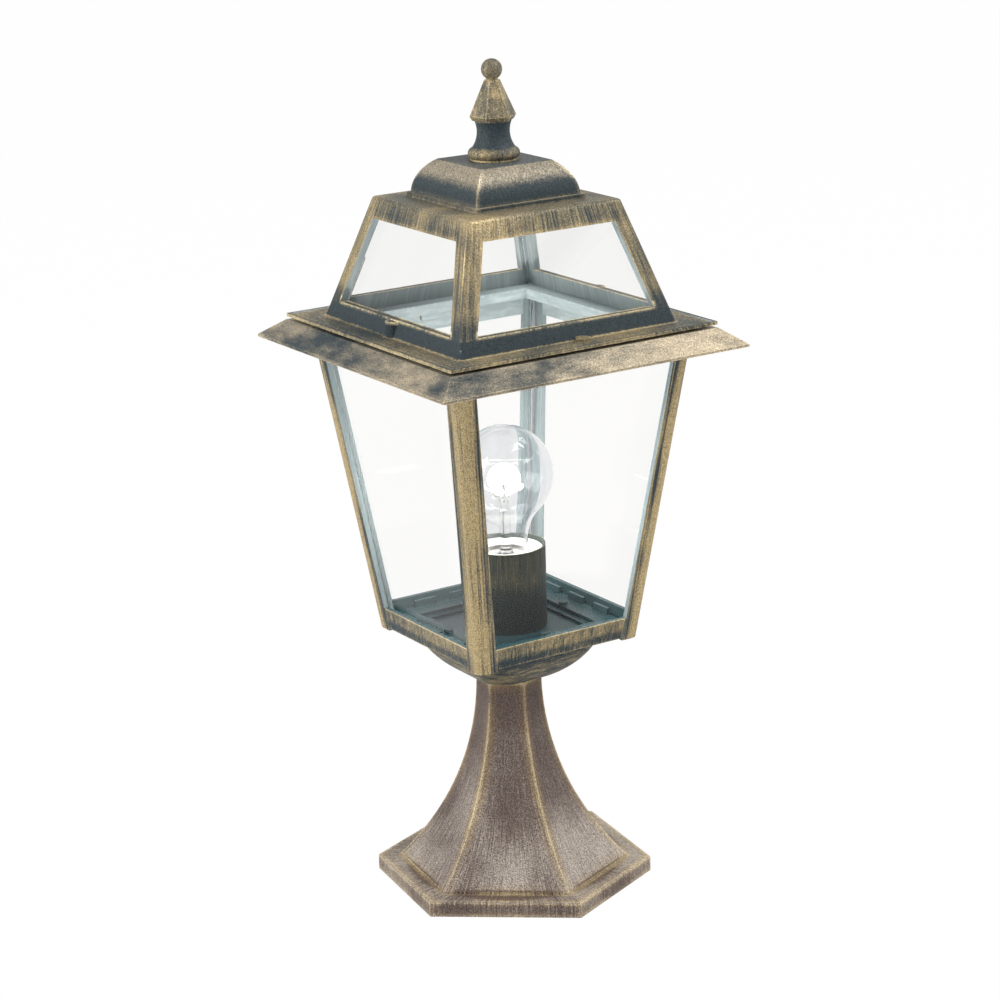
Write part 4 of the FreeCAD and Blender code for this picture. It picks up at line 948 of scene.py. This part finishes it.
class LANTERN_OT_stage(bpy.types.Operator):
    """Set the pale floor, the soft lights and the camera"""

    bl_idname = "lantern.stage"
    bl_label = "Stage"

    def execute(self, context):
        stage = context.scene.lantern_stage
        context.scene.view_settings.view_transform = "Standard"
        self.lay_floor(stage)
        self.light_sky(stage)
        aim = Vector((0.0, 0.0, stage.aim_height))
        for name, energy, spot in (("key_light", stage.key_light, stage.key_place),
                                   ("fill_light", stage.fill_light, stage.fill_place)):
            self.hang_light(name, energy, stage.light_size, Vector(spot), aim)
        self.light_lamp(context.scene.lantern_lamp)
        self.set_camera(stage, aim)
        return {"FINISHED"}

    def lay_floor(self, stage):
        """A large level floor under the lantern, seen as white."""
        t = MaterialNodes("pale_floor")
        ground = t.shader(Base_Color=stage.floor, Roughness=0.9, Specular_IOR_Level=0.1)
        white = t.add("Emission").outputs[0]
        seen = t.math("MULTIPLY", t.seen(), stage.floor_white)
        mesh = bpy.data.meshes.new("floor")
        corners = [(-1, -1), (1, -1), (1, 1), (-1, 1)]
        mesh.from_pydata([(x * FLOOR_REACH, y * FLOOR_REACH, 0) for x, y in corners], [],
                         [(0, 1, 2, 3)])
        mesh.materials.append(t.show(t.mixed_shader(seen, ground, white)))
        floor = bpy.data.objects.new("floor", mesh)
        floor.location.z = -FLOOR_GAP
        bpy.context.scene.collection.objects.link(floor)

    def light_sky(self, stage):
        """Even light from all round, seen as white."""
        world = bpy.data.worlds.new("studio")
        bpy.context.scene.world = world
        t = NodeTree(world, "OutputWorld")
        sky = t.add("Background")
        t.feed(sky.inputs["Color"], (1.0, 1.0, 1.0))
        white = t.math("MULTIPLY", t.seen(), 1.0 - stage.sky_light)
        t.feed(sky.inputs["Strength"], t.math("ADD", white, stage.sky_light))
        t.show(sky.outputs[0])

    def hang_light(self, name, energy, size, spot, aim):
        """A square soft light that looks at the lantern."""
        light = bpy.data.lights.new(name, "AREA")
        light.energy = energy
        light.size = size
        lamp = bpy.data.objects.new(name, light)
        lamp.location = spot
        lamp.rotation_euler = (aim - spot).to_track_quat("-Z", "Y").to_euler()
        bpy.context.scene.collection.objects.link(lamp)

    def light_lamp(self, lamp):
        """The lamp's white-hot core and the light that it throws; the panes don't mirror it."""
        light = bpy.data.lights.new("lamp_light", "POINT")
        light.energy = lamp.room_light
        light.color = lamp.glow
        light.shadow_soft_size = lamp.core_radius
        core = bpy.data.objects.new("lamp_light", light)
        core.location.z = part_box("bulb_filament")[1].z + lamp.core_lift
        core.visible_glossy = False
        bpy.context.scene.collection.objects.link(core)

    def set_camera(self, stage, aim):
        """A camera at the photograph's viewing angle."""
        turn, lift, roll = stage.azimuth, stage.elevation, stage.roll
        back = Vector((math.sin(turn) * math.cos(lift), -math.cos(turn) * math.cos(lift),
                       math.sin(lift)))
        right = Vector((math.cos(turn), math.sin(turn), 0.0))
        up = back.cross(right)
        across = right * math.cos(roll) + up * math.sin(roll)
        above = up * math.cos(roll) - right * math.sin(roll)
        data = bpy.data.cameras.new("camera")
        data.lens = stage.lens
        data.sensor_width = SENSOR_WIDTH
        camera = bpy.data.objects.new("camera", data)
        bpy.context.scene.collection.objects.link(camera)
        axes = Matrix((across, above, back)).transposed().to_4x4()
        spot = aim + right * stage.aim_shift + back * stage.distance
        camera.matrix_world = Matrix.Translation(spot) @ axes
        bpy.context.scene.camera = camera


OPERATORS = (LANTERN_OT_pedestal, LANTERN_OT_bowl, LANTERN_OT_tray, LANTERN_OT_posts,
             LANTERN_OT_eave, LANTERN_OT_roof, LANTERN_OT_finial, LANTERN_OT_panes,
             LANTERN_OT_lampholder, LANTERN_OT_fixings, LANTERN_OT_wiring, LANTERN_OT_lamp,
             LANTERN_OT_stage)
SETTINGS = {"lantern_finish": FinishSettings, "lantern_lamp": LampSettings,
            "lantern_stage": StageSettings}


class LANTERN_PT_pieces(bpy.types.Panel):
    """Lists the lantern's pieces and its settings"""

    bl_idname = "LANTERN_PT_pieces"
    bl_label = "Pedestal Lantern"
    bl_space_type = "VIEW_3D"
    bl_region_type = "UI"
    bl_category = "Lantern"

    def draw(self, context):
        for operator in OPERATORS:
            self.layout.operator(operator.bl_idname)
        for name in SETTINGS:
            group = getattr(context.scene, name)
            box = self.layout.box()
            for prop in group.__annotations__:
                box.prop(group, prop)


CLASSES = (*SETTINGS.values(), *OPERATORS, LANTERN_PT_pieces)


def register():
    """Add the classes and the scene's settings."""
    for cls in CLASSES:
        bpy.utils.register_class(cls)
    for name, group in SETTINGS.items():
        setattr(bpy.types.Scene, name, bpy.props.PointerProperty(type=group))


def unregister():
    """Take the classes and the scene's settings away."""
    for name in SETTINGS:
        delattr(bpy.types.Scene, name)
    for cls in reversed(CLASSES):
        bpy.utils.unregister_class(cls)


def main():
    """Make every piece in order."""
    register()
    for operator in OPERATORS:
        group, name = operator.bl_idname.split(".")
        getattr(getattr(bpy.ops, group), name)()


if __name__ == "__main__":
    main()
